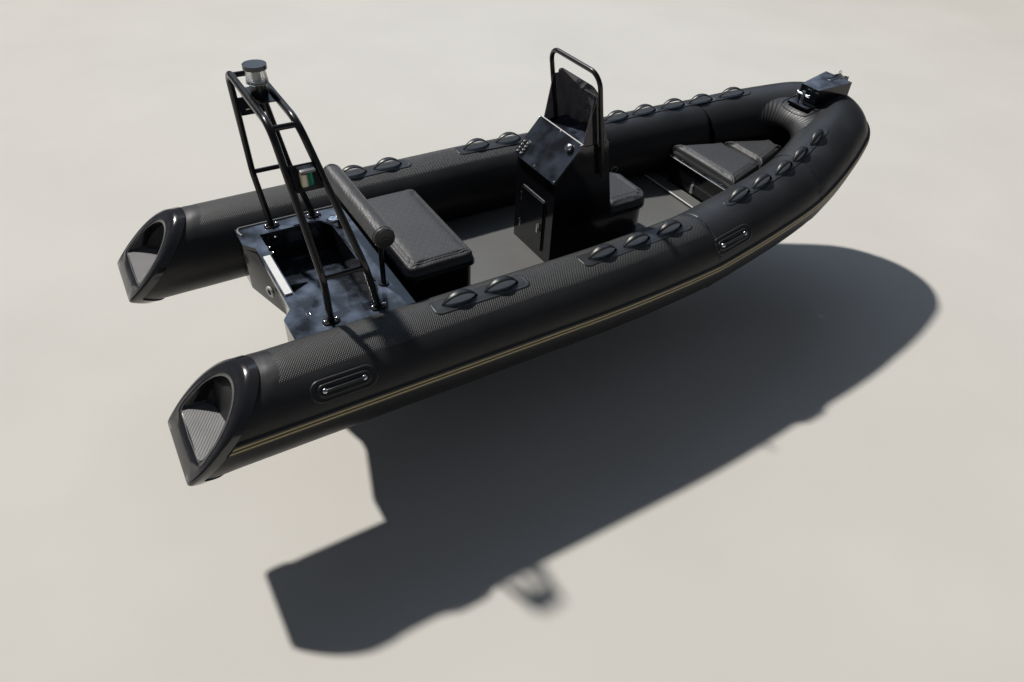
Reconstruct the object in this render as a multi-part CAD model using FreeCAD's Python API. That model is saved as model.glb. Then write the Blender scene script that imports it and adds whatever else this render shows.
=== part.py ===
import FreeCAD, Part
import math
import os

# An inflatable rib boat with a centre console, a light arch and a shore cradle. Millimetres, +X to the bow.
# Stations are measured from the stern cones' aft lip, and the finished pieces are moved so that the origin
# lies under the middle of the boat's length.

# Driving dimensions of the buoyancy collar
tube_radius = 225.0
collar_half_spacing = 683.0
collar_axis_height = 730.0
straight_end = 1940.0
shoulder_radius = 9300.0
shoulder_heading = 9.7
cheek_radius = 3330.0
cheek_heading = 27.4
fore_chamber_start = 2888.0
fore_chamber_tilt = 4.9
bow_chamber_start = 3860.0
bow_chamber_tilt = 10.3

# Stern cone ends
cone_lip_height = 624.0
cone_rim_depth = 64.0
cone_rim_proud = 7.0
cone_pocket_radius = 174.0
cone_pocket_floor = 692.0
cone_pocket_end = 430.0
cone_wall = 8.0
liner_lap = 20.0
step_pad_thickness = 4.0
step_pad_margin = 12.0
step_pad_start = 75.0

# Rub strake along the collar's widest line
strake_width = 56.0
strake_thickness = 12.0
strake_flat = 38.0
strake_sink = 4.0
strake_angle = 6.5
stripe_width = 6.0
stripe_thickness = 1.5
stripe_pitch = 17.0

# Hull and deck
deck_height = 580.0
floor_thickness = 12.0
keel_height = 300.0
hull_start = 712.0
hull_rake = 150.0

# Aft deck with the engine well
aft_deck_height = 880.0
aft_deck_front = 1200.0
ear_end = 606.0
ear_thickness = 26.0
notch_depth = 50.0
notch_half_width = 287.0
ear_inner = 353.0
well_aft = 712.0
well_front = 1087.0
well_half_width = 405.0
well_corner = 110.0
well_floor = 685.0
deck_reach = 530.0
transom_bottom = 600.0
transom_foot_face = 697.0
transom_foot_half = 30.0
transom_top_face = 660.0
transom_inset = 17.0
motor_plate_aft = 667.0
motor_plate_length = 360.0
motor_plate_width = 36.0
motor_plate_thickness = 10.0
drain_ring_radius = 31.0
drain_ring_proud = 6.0
drain_ring_sink = 12.0
drain_bore = 9.0
drain_depth = 30.0
drain_station = 663.0
drain_height = 672.0
drain_half_spacing = 171.0
drain_heading = 17.0
filler_station = 1112.0
filler_offset = 377.0
filler_radius = 30.0
filler_height = 12.0

# Light arch
arch_tube = 16.0
rung_tube = 12.0
arch_bend_radius = 110.0
arch_sink = 20.0
arch_foot_height = aft_deck_height
arch_foot_margin = 51.3
arch_knee_height = 1178.0
arch_knee_half_width = 538.0
arch_top_height = 1790.0
arch_top_half_width = 320.0
aft_arch_foot = 795.0
aft_arch_top = 712.0
fore_arch_foot = 1030.0
fore_arch_top = 820.0
foot_flange_radius = 42.0
foot_flange_thickness = 8.0
shelf_half_width = 95.0
shelf_thickness = 4.0
lamp_base_radius = 36.0
lamp_base_height = 50.0
lamp_lens_radius = 46.0
lamp_lens_height = 58.0
lamp_cap_radius = 49.0
lamp_cap_height = 18.0
lamp_cap_lip = 9.0
nav_plate_drop = 154.0
nav_plate_depth = 103.0
nav_plate_thickness = 4.0
nav_station = 800.0
nav_foot_rise = 10.0
nav_width = 60.0
nav_height = 85.0
nav_depth = 42.0
nav_back = 12.0
nav_rim = 12.0
nav_lens_inset = 3.0

# Backrest and aft seat
roll_radius = 56.0
roll_half_length = 362.0
roll_station = 1130.0
roll_height = 1172.0
roll_edge = 14.0
roll_post_station = 1125.0
roll_post_half = 300.0
roll_post_radius = 13.0
roll_flange_radius = 26.0
seat_aft = 1225.0
seat_front = 1610.0
seat_half_width = 385.0
seat_top = 970.0
seat_corner = 45.0
cushion_thickness = 58.0
cushion_edge = 12.0
lid_overhang = 15.0
lid_clearance = 6.0
lid_thickness = 14.0
box_wall = 12.0
soft_gap = 0.3

# Console
console_aft = 2190.0
console_front = 2600.0
console_half_width = 200.0
console_wall = 12.0
dash_aft = 2167.0
dash_aft_height = 1130.0
dash_front = 2340.0
dash_front_height = 1322.0
dash_thickness = 16.0
dash_half_width = 212.0
hood_height = 1300.0
screen_top_station = 2412.0
screen_top_height = 1606.0
screen_thickness = 5.0
screen_half_width = 196.0
screen_setback = 4.0
screen_lip = 12.0
screen_wing_foot = 2348.0
screen_corner_share = 0.23
screen_foot = 2520.0
rail_tube = 13.0
rail_half_width = 226.0
rail_pad_heights = (1130.0, 1270.0)
rail_pad_radius = 9.0
rail_foot_station = 2485.0
rail_foot_height = 1110.0
rail_top_station = 2384.0
rail_top_height = 1694.0
rail_bend_radius = 75.0
door_half_width = 115.0
door_bottom = 640.0
door_top = 960.0
door_thickness = 12.0
door_lap = 10.0
door_gap = 0.5
hinge_heights = (703.0, 886.0)
hinge_radius = 5.0
hinge_gap = 2.0
hinge_length = 44.0
hinge_leaf = 22.0
latch_offset = 88.0
latch_height = 800.0
latch_radius = 15.0
latch_depth = 8.0
latch_lever = 7.0
latch_reach = 42.0
front_seat_end = 2930.0
front_seat_half_width = 205.0
front_seat_top = 872.0
front_seat_corner = 120.0

# Bow locker
locker_aft = 3505.0
locker_front = 4205.0
locker_aft_half = 307.0
locker_split_half = 190.0
locker_front_half = 66.0
bow_cushion_thickness = 72.0
cushion_split = 4.0
locker_split = 3870.0
locker_top = 862.0
sill_station = 3410.0
step_height = 20.0
bow_latch_offset = 50.0
bow_latch_half = 14.0
bow_latch_depth = 8.0
bow_latch_bottom = 605.0
bow_latch_top = 690.0

# Bow box and roller
bow_box_reach = 35.4
bow_box_length = 273.0
bow_box_aft_half = 73.0
bow_box_front_half = 112.0
bow_box_aft_height = 1226.0
bow_box_front_height = 1253.0
bow_box_bottom = 1100.0
roller_radius = 24.0
roller_waist = 16.0
roller_half_width = 26.0
roller_pin_radius = 6.0
running_fit = 0.05
roller_clearance = 5.5
cheek_thickness = 5.0
cheek_root = 20.0
cheek_nose = 20.0
cheek_margin = 4.0
roller_reach = 40.0
roller_height = 1236.0
bow_pad_lead = 82.0
bow_pad_inset = 60.0
bow_pad_half = 85.0
bow_pad_height = 1118.0
bow_pad_thickness = 16.0
cleat_lead = 47.0
cleat_base_radius = 26.0
cleat_base_height = 8.0
cleat_post_radius = 11.0
cleat_height = 89.0
cleat_cross_drop = 24.0
cleat_bar_radius = 8.0
cleat_reach = 55.0

# Grab handles: stations along the side where each loop is centred
handle_stations = (1350.0, 1575.0, 2180.0, 2410.0, 2650.0, 3243.0, 3453.0, 3675.0, 3895.0, 4115.0)
handle_length = 200.0
handle_rise = 55.0
handle_width = 46.0
handle_tip = 14.0
handle_thickness = 7.0
handle_sink = 3.0
carry_stations = (705.0, 3000.0)
carry_angle = 36.0
carry_length = 190.0
carry_rise = 16.0
carry_width = 38.0

# Cradle on the floor
cradle_aft = 1250.0
cradle_fore = 3050.0
cradle_half_width = 300.0
cradle_tube = 60.0
cradle_rail_half_spacing = 150.0
cradle_foot = 12.0
pad_half_width = 70.0
pad_inner = 170.0
pad_outer = 430.0
pad_thickness = 40.0
bearer_thickness = 10.0
foot_half = 40.0
foot_inset = 20.0

deg = math.radians


def vec(x, y, z):
    return FreeCAD.Vector(x, y, z)


X_AXIS = vec(1, 0, 0)
Y_AXIS = vec(0, 1, 0)
Z_AXIS = vec(0, 0, 1)
ORIGIN = vec(0, 0, 0)


def block(x0, x1, y0, y1, z0, z1):
    return Part.makeBox(x1 - x0, y1 - y0, z1 - z0, vec(x0, y0, z0))


def rod(base, axis, radius, length):
    return Part.makeCylinder(radius, length, base, axis)


def prism(points, travel):
    loop = [vec(*p) for p in points]
    return Part.Face(Part.makePolygon(loop + loop[:1])).extrude(vec(*travel))


def mirrored(shape):
    return shape.mirror(ORIGIN, Y_AXIS)


def both(shape):
    return [shape, mirrored(shape)]


def side_profile(points, y0, y1):
    """A plate whose outline is given as (x, z) points, between two heights of y."""
    return prism([(x, y0, z) for x, z in points], (0, y1 - y0, 0))


def bent_tube(points, radius, bend):
    """A round tube along straight runs with an equal bend at each corner."""
    pts = [vec(*p) for p in points]
    edges = []
    start = pts[0]
    for before, corner, after in zip(pts, pts[1:], pts[2:]):
        u = (before - corner).normalize()
        w = (after - corner).normalize()
        half = u.getAngle(w) / 2
        reach = bend / math.tan(half)
        p_in = corner + u * reach
        p_out = corner + w * reach
        middle = (u + w).normalize()
        p_mid = corner + middle * (bend / math.sin(half) - bend)
        edges.append(Part.LineSegment(start, p_in).toShape())
        edges.append(Part.Arc(p_in, p_mid, p_out).toShape())
        start = p_out
    edges.append(Part.LineSegment(start, pts[-1]).toShape())
    path = Part.Wire(edges)
    section = Part.Wire([Part.makeCircle(radius, pts[0], pts[1] - pts[0])])
    return path.makePipeShell([section], True, True)


# The collar's path in plan, port side: straight, shoulder arc, cheek arc, then the bow arc to the centreline
bow_arc_start_y = (collar_half_spacing - shoulder_radius * (1 - math.cos(deg(shoulder_heading)))
                   - cheek_radius * (math.cos(deg(shoulder_heading)) - math.cos(deg(cheek_heading))))
bow_arc_radius = bow_arc_start_y / math.cos(deg(cheek_heading))
ARCS = ((shoulder_radius, 0.0, shoulder_heading),
        (cheek_radius, shoulder_heading, cheek_heading),
        (bow_arc_radius, cheek_heading, 90.0))


def arc_starts():
    """Start point of each arc of the path, in plan."""
    x, y = straight_end, collar_half_spacing
    starts = []
    for radius, h0, h1 in ARCS:
        starts.append((x, y))
        x += radius * (math.sin(deg(h1)) - math.sin(deg(h0)))
        y -= radius * (math.cos(deg(h0)) - math.cos(deg(h1)))
    starts.append((x, y))
    return starts


ARC_STARTS = arc_starts()
collar_end = ARC_STARTS[-1][0]
beyond = 2 * collar_end  # longer than the boat, for cuts that go past every piece


def plan_point(u):
    """Point and heading of the path in plan at distance u along X, port side."""
    if u <= straight_end:
        return collar_half_spacing, 0.0
    for (radius, h0, h1), (x, y), (x_end, _) in zip(ARCS, ARC_STARTS, ARC_STARTS[1:]):
        if u <= x_end:
            heading = math.asin(min(1.0, (u - x) / radius + math.sin(deg(h0))))
            return y - radius * (math.cos(deg(h0)) - math.cos(heading)), math.degrees(heading)
    return 0.0, 90.0


joint_fore = vec(fore_chamber_start, 0, collar_axis_height)
bow_run = bow_chamber_start - fore_chamber_start
joint_bow = vec(fore_chamber_start + bow_run * math.cos(deg(fore_chamber_tilt)), 0,
                collar_axis_height + bow_run * math.sin(deg(fore_chamber_tilt)))


def lifted(shape, chamber):
    """Moves a shape modelled on the level path onto the rising path of its chamber."""
    shape = shape.copy()
    if chamber == "fore":
        shape.rotate(joint_fore, Y_AXIS, -fore_chamber_tilt)
    if chamber == "bow":
        shape.translate(joint_bow - vec(bow_chamber_start, 0, collar_axis_height))
        shape.rotate(joint_bow, Y_AXIS, -bow_chamber_tilt)
    return shape


def lifted_point(u, y, z):
    """The same move for a point given on the level path."""
    if u <= fore_chamber_start:
        return vec(u, y, z)
    if u <= bow_chamber_start:
        base, run, tilt = joint_fore, u - fore_chamber_start, fore_chamber_tilt
    else:
        base, run, tilt = joint_bow, u - bow_chamber_start, bow_chamber_tilt
    rise = z - collar_axis_height
    return base + vec(run * math.cos(deg(tilt)) - rise * math.sin(deg(tilt)), y,
                      run * math.sin(deg(tilt)) + rise * math.cos(deg(tilt)))


def placed_profile(outline, x, y, heading):
    """A face in the plane across the path, its outline given as (outward, up) points or a radius."""
    outward = vec(math.sin(deg(heading)), math.cos(deg(heading)), 0)
    forward = vec(math.cos(deg(heading)), -math.sin(deg(heading)), 0)
    centre = vec(x, y, collar_axis_height)
    if isinstance(outline, float):
        return Part.Face(Part.Wire([Part.makeCircle(outline, centre, forward)]))
    loop = [centre + outward * n + Z_AXIS * z for n, z in outline]
    return Part.Face(Part.makePolygon(loop + loop[:1]))


def swept_arc(outline, index):
    radius, h0, h1 = ARCS[index]
    x, y = ARC_STARTS[index]
    centre = vec(x - radius * math.sin(deg(h0)), y - radius * math.cos(deg(h0)), 0)
    return placed_profile(outline, x, y, h0).revolve(centre, vec(0, 0, -1), h1 - h0)


def swept_straight(outline, start):
    face = placed_profile(outline, start, collar_half_spacing, 0.0)
    return face.extrude(vec(straight_end - start, 0, 0))


def half_space(joint, tilt, side):
    """A large block on the fore (+1) or aft (-1) side of a tilted plane across the boat."""
    x0 = joint.x if side > 0 else joint.x - beyond
    big = block(x0, x0 + beyond, -beyond, beyond, joint.z - beyond, joint.z + beyond)
    big.rotate(joint, Y_AXIS, -tilt)
    return big


aft_of_fore_joint = half_space(joint_fore, fore_chamber_tilt / 2, -1)
ahead_of_fore_joint = half_space(joint_fore, fore_chamber_tilt / 2, 1)
aft_of_bow_joint = half_space(joint_bow, (fore_chamber_tilt + bow_chamber_tilt) / 2, -1)
ahead_of_bow_joint = half_space(joint_bow, (fore_chamber_tilt + bow_chamber_tilt) / 2, 1)


def aft_run(outline, start):
    """Port side from the stern to the first chamber joint."""
    run = swept_straight(outline, start).fuse(swept_arc(outline, 0)).removeSplitter()
    return run.common(aft_of_fore_joint)


def fore_run(outline):
    run = swept_arc(outline, 0).fuse(swept_arc(outline, 1)).removeSplitter()
    return lifted(run, "fore").common(ahead_of_fore_joint).common(aft_of_bow_joint)


def bow_run_shape(outline):
    run = swept_arc(outline, 1).fuse(swept_arc(outline, 2)).removeSplitter()
    run = run.fuse(mirrored(run)).removeSplitter()
    return lifted(run, "bow").common(ahead_of_bow_joint)


def solids_of(shapes):
    found = []
    for shape in shapes:
        found.extend(shape.Solids)
    return found


def write(name, *shapes):
    """Exports one node, moved so that the origin is under the middle of the boat's length."""
    solids = solids_of(shapes)
    shape = solids[0] if len(solids) == 1 else Part.makeCompound(solids)
    shape = shape.copy()
    shape.translate(vec(-overall_length / 2, 0, 0))
    shape.exportStep(os.path.join("parts", name + ".step"))
    box = shape.optimalBoundingBox(False)
    print("%-24s %2d solids valid %s  x %7.1f %7.1f  y %7.1f %7.1f  z %7.1f %7.1f  vol %.4f m3"
          % (name, len(solids), shape.isValid(), box.XMin, box.XMax, box.YMin, box.YMax,
             box.ZMin, box.ZMax, shape.Volume / 1e9))


# Stern cones: a glossy cap cut on a slope, with a D-shaped pocket and a step pad in it
def cone_wedge(start, depth):
    """Blocks out what lies between the sloped end and the same end moved forward by depth."""
    reach = 2 * tube_radius
    top, foot = cone_lip_height + reach, cone_lip_height - reach
    points = ((start, cone_lip_height), (start + reach, top), (start + reach + depth, top),
              (start + depth, cone_lip_height), (start + reach + depth, foot), (start + reach, foot))
    return side_profile(points, 0, 2 * collar_half_spacing)


def pocket(radius, floor, x0, x1):
    hollow = rod(vec(x0, collar_half_spacing, collar_axis_height), X_AXIS, radius, x1 - x0)
    above = block(x0 - 1, x1 + 1, 0, 2 * collar_half_spacing, floor, collar_axis_height + 2 * radius)
    return hollow.common(above)


def stern_cone():
    outer = rod(vec(-tube_radius, collar_half_spacing, collar_axis_height), X_AXIS,
                tube_radius + cone_rim_proud, beyond)
    rim = outer.common(cone_wedge(0, cone_rim_depth))
    liner = pocket(cone_pocket_radius + cone_wall, cone_pocket_floor - cone_wall, 0,
                   cone_pocket_end + cone_wall)
    liner = liner.common(cone_wedge(cone_rim_depth - liner_lap, beyond))
    cap = rim.fuse(liner).cut(pocket(cone_pocket_radius, cone_pocket_floor, -liner_lap, cone_pocket_end))
    return cap.removeSplitter()


def step_pad():
    pad = pocket(cone_pocket_radius - step_pad_margin, cone_pocket_floor, 0,
                 cone_pocket_end - step_pad_margin)
    slab = block(step_pad_start, cone_pocket_end, 0, 2 * collar_half_spacing, cone_pocket_floor,
                 cone_pocket_floor + step_pad_thickness)
    return pad.common(slab).common(cone_wedge(step_pad_thickness, beyond))


cone = stern_cone()
pad = step_pad()

# Collar chambers
ahead_of_rim = cone_wedge(cone_rim_depth, beyond)
aft_tube = aft_run(tube_radius, 0.0).common(ahead_of_rim)
aft_tube = aft_tube.cut(pocket(cone_pocket_radius + cone_wall, cone_pocket_floor - cone_wall, -liner_lap,
                               cone_pocket_end + cone_wall))
fore_tube = fore_run(tube_radius)
bow_tube = bow_run_shape(tube_radius)
collar = [aft_tube, mirrored(aft_tube), fore_tube, mirrored(fore_tube), bow_tube]

# Rub strake: a low band along the collar's widest line, turned a little upwards, with two stripes on it
def turned(outline, angle):
    """The (outward, up) points of an outline turned upwards about the tube's axis."""
    c, s = math.cos(deg(angle)), math.sin(deg(angle))
    return tuple((n * c - z * s, n * s + z * c) for n, z in outline)


def around_collar(outline):
    """One closed band that follows both sides and the bow, from the rims of the cones."""
    aft = aft_run(outline, 0.0).common(ahead_of_rim)
    fore = fore_run(outline)
    band = bow_run_shape(outline)
    for side in both(aft) + both(fore):
        band = band.fuse(side)
    return band


strake_crown = tube_radius + strake_thickness
strake_root = tube_radius - strake_sink
strake_outline = ((strake_root, -strake_width / 2), (strake_crown, -strake_flat / 2),
                  (strake_crown, strake_flat / 2), (strake_root, strake_width / 2))
strake = around_collar(turned(strake_outline, strake_angle))
for chamber in collar:
    strake = strake.cut(chamber)
stripes = []
for level in (-stripe_pitch / 2, stripe_pitch / 2):
    band_outline = ((strake_crown, level - stripe_width / 2),
                    (strake_crown + stripe_thickness, level - stripe_width / 2),
                    (strake_crown + stripe_thickness, level + stripe_width / 2),
                    (strake_crown, level + stripe_width / 2))
    stripes.append(around_collar(turned(band_outline, strake_angle)))

# Hull: a deep V with its upper edges inside the tubes, open above the cockpit floor
deck_bottom = deck_height - floor_thickness
CHINE_HALF = 590.0
CHINE_HEIGHT = 495.0
HULL_ROWS = (  # station, keel height, chine half width and height, gunwale half width and height
    (hull_start, keel_height, CHINE_HALF, CHINE_HEIGHT, 600.0, 600.0),
    (2900.0, keel_height, 555.0, 500.0, 560.0, 620.0),
    (3500.0, 312.0, 480.0, 535.0, 500.0, 690.0),
    (3860.0, 340.0, 400.0, 580.0, 430.0, 735.0),
    (4300.0, 440.0, 220.0, 665.0, 260.0, 715.0),
    (4520.0, 620.0, 60.0, 745.0, 90.0, 830.0))
WELL_ROWS = (  # station, half width
    (hull_start - 20, 575.0),
    (2900.0, 530.0),
    (3500.0, 455.0),
    (3860.0, 350.0),
    (locker_front + 25, 140.0))


def rake(station, z):
    """The hull's end leans: its keel ends ahead of its top."""
    if station > hull_start:
        return station
    return station + hull_rake * (deck_bottom - z) / (deck_bottom - keel_height)


def hull_section(station, keel_z, chine_y, chine_z, gunwale_y, gunwale_z):
    half = [(chine_y, chine_z), (gunwale_y, gunwale_z)]
    loop = [vec(rake(station, keel_z), 0, keel_z)]
    loop += [vec(rake(station, z), y, z) for y, z in half]
    loop += [vec(rake(station, z), -y, z) for y, z in reversed(half)]
    return Part.makePolygon(loop + loop[:1])


def well_section(station, half_width):
    loop = [vec(station, -half_width, deck_bottom), vec(station, half_width, deck_bottom),
            vec(station, half_width, aft_deck_height), vec(station, -half_width, aft_deck_height)]
    return Part.makePolygon(loop + loop[:1])


def without(shape, tools):
    for tool in tools:
        shape = shape.cut(tool)
    return shape


def largest(shape):
    return max(shape.Solids, key=lambda solid: solid.Volume)


cockpit_well = Part.makeLoft([well_section(*row) for row in WELL_ROWS], True, True)
hull = Part.makeLoft([hull_section(*row) for row in HULL_ROWS], True, True)
hull = largest(without(hull, [cockpit_well] + collar))

floor_layer = block(aft_deck_front, locker_front, -collar_half_spacing, collar_half_spacing,
                    deck_bottom, deck_height)
cockpit_floor = largest(without(floor_layer.common(cockpit_well), collar))
step_layer = block(sill_station, locker_aft, -collar_half_spacing, collar_half_spacing,
                   deck_height, deck_height + step_height)
bow_step = largest(without(step_layer, collar + [hull]))

# Aft deck: a block between the tubes with the engine well, and a notched shelf over the transom
def rounded_box(x0, x1, half_width, z0, z1, radius, fore=True, aft=False):
    """A box with its upright corners rounded at its fore or aft end."""
    box = block(x0, x1, -half_width, half_width, z0, z1)
    ends = ([x1] if fore else []) + ([x0] if aft else [])
    edges = [e for e in box.Edges if e.BoundBox.ZLength > z1 - z0 - 1
             and any(abs(e.CenterOfMass.x - x) < 1 for x in ends)]
    return box.makeFillet(radius, edges)


deck_block = block(well_aft, aft_deck_front, -deck_reach, deck_reach, deck_bottom, aft_deck_height)
well = rounded_box(well_aft - well_corner - 1, well_front, well_half_width, well_floor,
                   aft_deck_height + 1, well_corner)
ear_bottom = aft_deck_height - ear_thickness
shelf_plan = ((well_aft, -deck_reach), (well_aft, deck_reach), (ear_end, deck_reach), (ear_end, ear_inner),
              (ear_end + notch_depth, notch_half_width), (ear_end + notch_depth, -notch_half_width),
              (ear_end, -ear_inner), (ear_end, -deck_reach))
shelf = prism([(x, y, ear_bottom) for x, y in shelf_plan], (0, 0, ear_thickness))
aft_deck = deck_block.cut(well).fuse(shelf).removeSplitter()
aft_deck = largest(without(aft_deck, collar))

# Transom: its middle leans forward towards the bottom, its sides reach aft under the ears
def transom_ring(z, middle_face, middle_half):
    plan = ((middle_face, -middle_half), (middle_face, middle_half), (ear_end, ear_inner),
            (ear_end, deck_reach), (well_aft, deck_reach), (well_aft, -deck_reach),
            (ear_end, -deck_reach), (ear_end, -ear_inner))
    loop = [vec(x, y, z) for x, y in plan]
    return Part.makePolygon(loop + loop[:1])


transom = Part.makeLoft([transom_ring(transom_bottom, transom_foot_face, transom_foot_half),
                         transom_ring(ear_bottom, transom_top_face, notch_half_width - transom_inset)],
                        True, True)
drain_out = vec(-math.cos(deg(drain_heading)), -math.sin(deg(drain_heading)), 0)
drain_centre = vec(drain_station, drain_half_spacing, drain_height)
drain_hole = rod(drain_centre - drain_out * drain_depth, drain_out, drain_bore, 2 * drain_depth)
transom = largest(without(transom, collar + both(drain_hole)))
ring_body = rod(drain_centre - drain_out * drain_ring_sink, drain_out, drain_ring_radius,
                drain_ring_sink + drain_ring_proud)
drain_ring = largest(ring_body.cut(drain_hole).cut(transom))

motor_plate = block(motor_plate_aft, motor_plate_aft + motor_plate_width, -motor_plate_length / 2,
                    motor_plate_length / 2, aft_deck_height, aft_deck_height + motor_plate_thickness)
filler_cap = rod(vec(filler_station, filler_offset, aft_deck_height), Z_AXIS, filler_radius, filler_height)

# Light arch: two leaning hoops joined by rungs at their knees and shoulders
tube_side = math.sqrt(max(0.0, tube_radius ** 2 - (arch_foot_height - collar_axis_height) ** 2))
arch_foot_half_width = collar_half_spacing - tube_side - arch_foot_margin


def hoop_points(foot_station, top_station):
    rows = ((arch_foot_half_width, arch_foot_height), (arch_knee_half_width, arch_knee_height),
            (arch_top_half_width, arch_top_height))
    lean = (top_station - foot_station) / (arch_top_height - arch_foot_height)
    half = [(foot_station + lean * (z - arch_foot_height), y, z) for y, z in rows]
    return [(x, -y, z) for x, y, z in half] + half[::-1]


def hoop(foot_station, top_station):
    points = hoop_points(foot_station, top_station)
    foot, knee = vec(*points[0]), vec(*points[1])
    below = foot - (knee - foot).normalize() * arch_sink
    ends = [tuple(below)], [(below.x, -below.y, below.z)]
    tube = bent_tube(ends[0] + points[1:-1] + ends[1], arch_tube, arch_bend_radius)
    above_deck = block(0, beyond, -beyond, beyond, arch_foot_height, arch_top_height + 2 * arch_tube)
    return tube.common(above_deck)


def bend_middle(points, index, bend):
    before, corner, after = (vec(*points[i]) for i in (index - 1, index, index + 1))
    u, w = (before - corner).normalize(), (after - corner).normalize()
    half = u.getAngle(w) / 2
    return corner + (u + w).normalize() * (bend / math.sin(half) - bend)


aft_points = hoop_points(aft_arch_foot, aft_arch_top)
fore_points = hoop_points(fore_arch_foot, fore_arch_top)
arch_aft = hoop(aft_arch_foot, aft_arch_top)
arch_fore = hoop(fore_arch_foot, fore_arch_top)
rungs = []
for corner in (1, 2, 3, 4):
    start = bend_middle(aft_points, corner, arch_bend_radius)
    end = bend_middle(fore_points, corner, arch_bend_radius)
    rung = rod(start, end - start, rung_tube, (end - start).Length)
    rungs.append(largest(without(rung, [arch_aft, arch_fore])))
flanges = []
for station in (aft_arch_foot, fore_arch_foot):
    for y in (-arch_foot_half_width, arch_foot_half_width):
        disc = rod(vec(station, y, arch_foot_height), Z_AXIS, foot_flange_radius, foot_flange_thickness)
        flanges.append(largest(without(disc, [arch_aft, arch_fore] + collar)))

# Masthead light on its shelf between the hoops
lamp_station = (aft_arch_top + fore_arch_top) / 2
lamp_shelf = block(aft_arch_top, fore_arch_top, -shelf_half_width, shelf_half_width,
                   arch_top_height - shelf_thickness, arch_top_height)
lamp_shelf = largest(without(lamp_shelf, [arch_aft, arch_fore]))
lamp_foot = vec(lamp_station, 0, arch_top_height)
lamp_base = rod(lamp_foot, Z_AXIS, lamp_base_radius, lamp_base_height)
lens_foot = lamp_foot + Z_AXIS * lamp_base_height
lamp_lens = Part.makeCone(lamp_lens_radius, lamp_cap_radius - lamp_cap_lip, lamp_lens_height, lens_foot,
                          Z_AXIS)
lamp_cap = rod(lens_foot + Z_AXIS * lamp_lens_height, Z_AXIS, lamp_cap_radius, lamp_cap_height)

# Side lights: a plate between the legs on each side, with a lantern on its outer face
leg_slope = (arch_knee_half_width - arch_top_half_width) / (arch_top_height - arch_knee_height)
leg_lean = math.degrees(math.atan(leg_slope))


def leg_half_width(z):
    return arch_knee_half_width - leg_slope * (z - arch_knee_height)


nav_plate_top = arch_top_height - nav_plate_drop
nav_plate_bottom = nav_plate_top - nav_plate_depth
plate_section = [(leg_half_width(nav_plate_bottom), nav_plate_bottom),
                 (leg_half_width(nav_plate_top), nav_plate_top),
                 (leg_half_width(nav_plate_top) + nav_plate_thickness, nav_plate_top),
                 (leg_half_width(nav_plate_bottom) + nav_plate_thickness, nav_plate_bottom)]
nav_plate = prism([(aft_arch_top, y, z) for y, z in plate_section], (fore_arch_foot - aft_arch_top, 0, 0))
nav_plate = max(without(nav_plate, [arch_aft, arch_fore]).Solids,
                key=lambda solid: -abs(solid.CenterOfMass.x - nav_station))


def on_plate(shape):
    """Places a shape modelled with its back on the plane y = 0 and its foot at z = 0."""
    shape.rotate(ORIGIN, X_AXIS, leg_lean)
    foot_z = nav_plate_bottom + nav_foot_rise
    back = leg_half_width(foot_z) + nav_plate_thickness / math.cos(deg(leg_lean))
    shape.translate(vec(nav_station, back, foot_z))
    return shape


half_nav = nav_width / 2
housing = block(-half_nav, half_nav, 0, nav_back, 0, nav_height)
housing = housing.fuse(block(-half_nav, half_nav, nav_back, nav_depth, 0, nav_rim))
housing = housing.fuse(block(-half_nav, half_nav, nav_back, nav_depth, nav_height - nav_rim, nav_height))
nav_housing = on_plate(housing.removeSplitter())
lens = rod(vec(0, nav_back, nav_rim), Z_AXIS, half_nav - nav_lens_inset, nav_height - 2 * nav_rim)
nav_lens = on_plate(lens.common(block(-half_nav, half_nav, nav_back, nav_depth, 0, nav_height)))

# Backrest roll on two posts that stand on the aft deck
roll = rod(vec(roll_station, -roll_half_length, roll_height), Y_AXIS, roll_radius, 2 * roll_half_length)
roll = roll.makeFillet(roll_edge, [e for e in roll.Edges if e.BoundBox.YLength < 1])
roll_seat = rod(vec(roll_station, -roll_half_length, roll_height), Y_AXIS, roll_radius + soft_gap,
                2 * roll_half_length)
post = rod(vec(roll_post_station, roll_post_half, aft_deck_height), Z_AXIS, roll_post_radius,
           roll_height - aft_deck_height)
post = post.fuse(rod(vec(roll_post_station, roll_post_half, aft_deck_height), Z_AXIS, roll_flange_radius,
                     foot_flange_thickness))
roll_post = largest(post.cut(roll_seat))

# Seats: an open box, a lid on it and a cushion on the lid
def seat_box(x0, x1, half_width, z1, corner):
    outer = rounded_box(x0, x1, half_width, deck_height, z1, corner)
    inner = rounded_box(x0 + box_wall, x1 - box_wall, half_width - box_wall, deck_height - 1, z1 + 1,
                        max(corner - box_wall, 1.0))
    return outer.cut(inner)


def softened(shape, radius):
    """Rounds the upper rim of a cushion."""
    top = shape.BoundBox.ZMax
    rim = [e for e in shape.Edges if abs(e.BoundBox.ZMin - top) < 0.1]
    return shape.makeFillet(radius, rim)


aft_lid_bottom = seat_top - cushion_thickness - soft_gap - lid_thickness
aft_box = seat_box(seat_aft + lid_overhang, seat_front - lid_overhang, seat_half_width - lid_overhang,
                   aft_lid_bottom, seat_corner)
aft_lid = rounded_box(seat_aft, seat_front, seat_half_width, aft_lid_bottom, aft_lid_bottom + lid_thickness,
                      seat_corner, True, True)
aft_cushion = rounded_box(seat_aft, seat_front, seat_half_width, seat_top - cushion_thickness, seat_top,
                          seat_corner, True, True)
aft_cushion = softened(aft_cushion, cushion_edge)

# Console: a closed shell with a sloping face for the dash and a door in its aft wall
slope = math.atan2(dash_front_height - dash_aft_height, dash_front - dash_aft)
sink_x, sink_z = dash_thickness * math.sin(slope), dash_thickness * math.cos(slope)
under_aft = (dash_aft + sink_x, dash_aft_height - sink_z)


def under_dash(x):
    """Height of the dash panel's underside."""
    return under_aft[1] + (x - under_aft[0]) * math.tan(slope)


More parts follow.
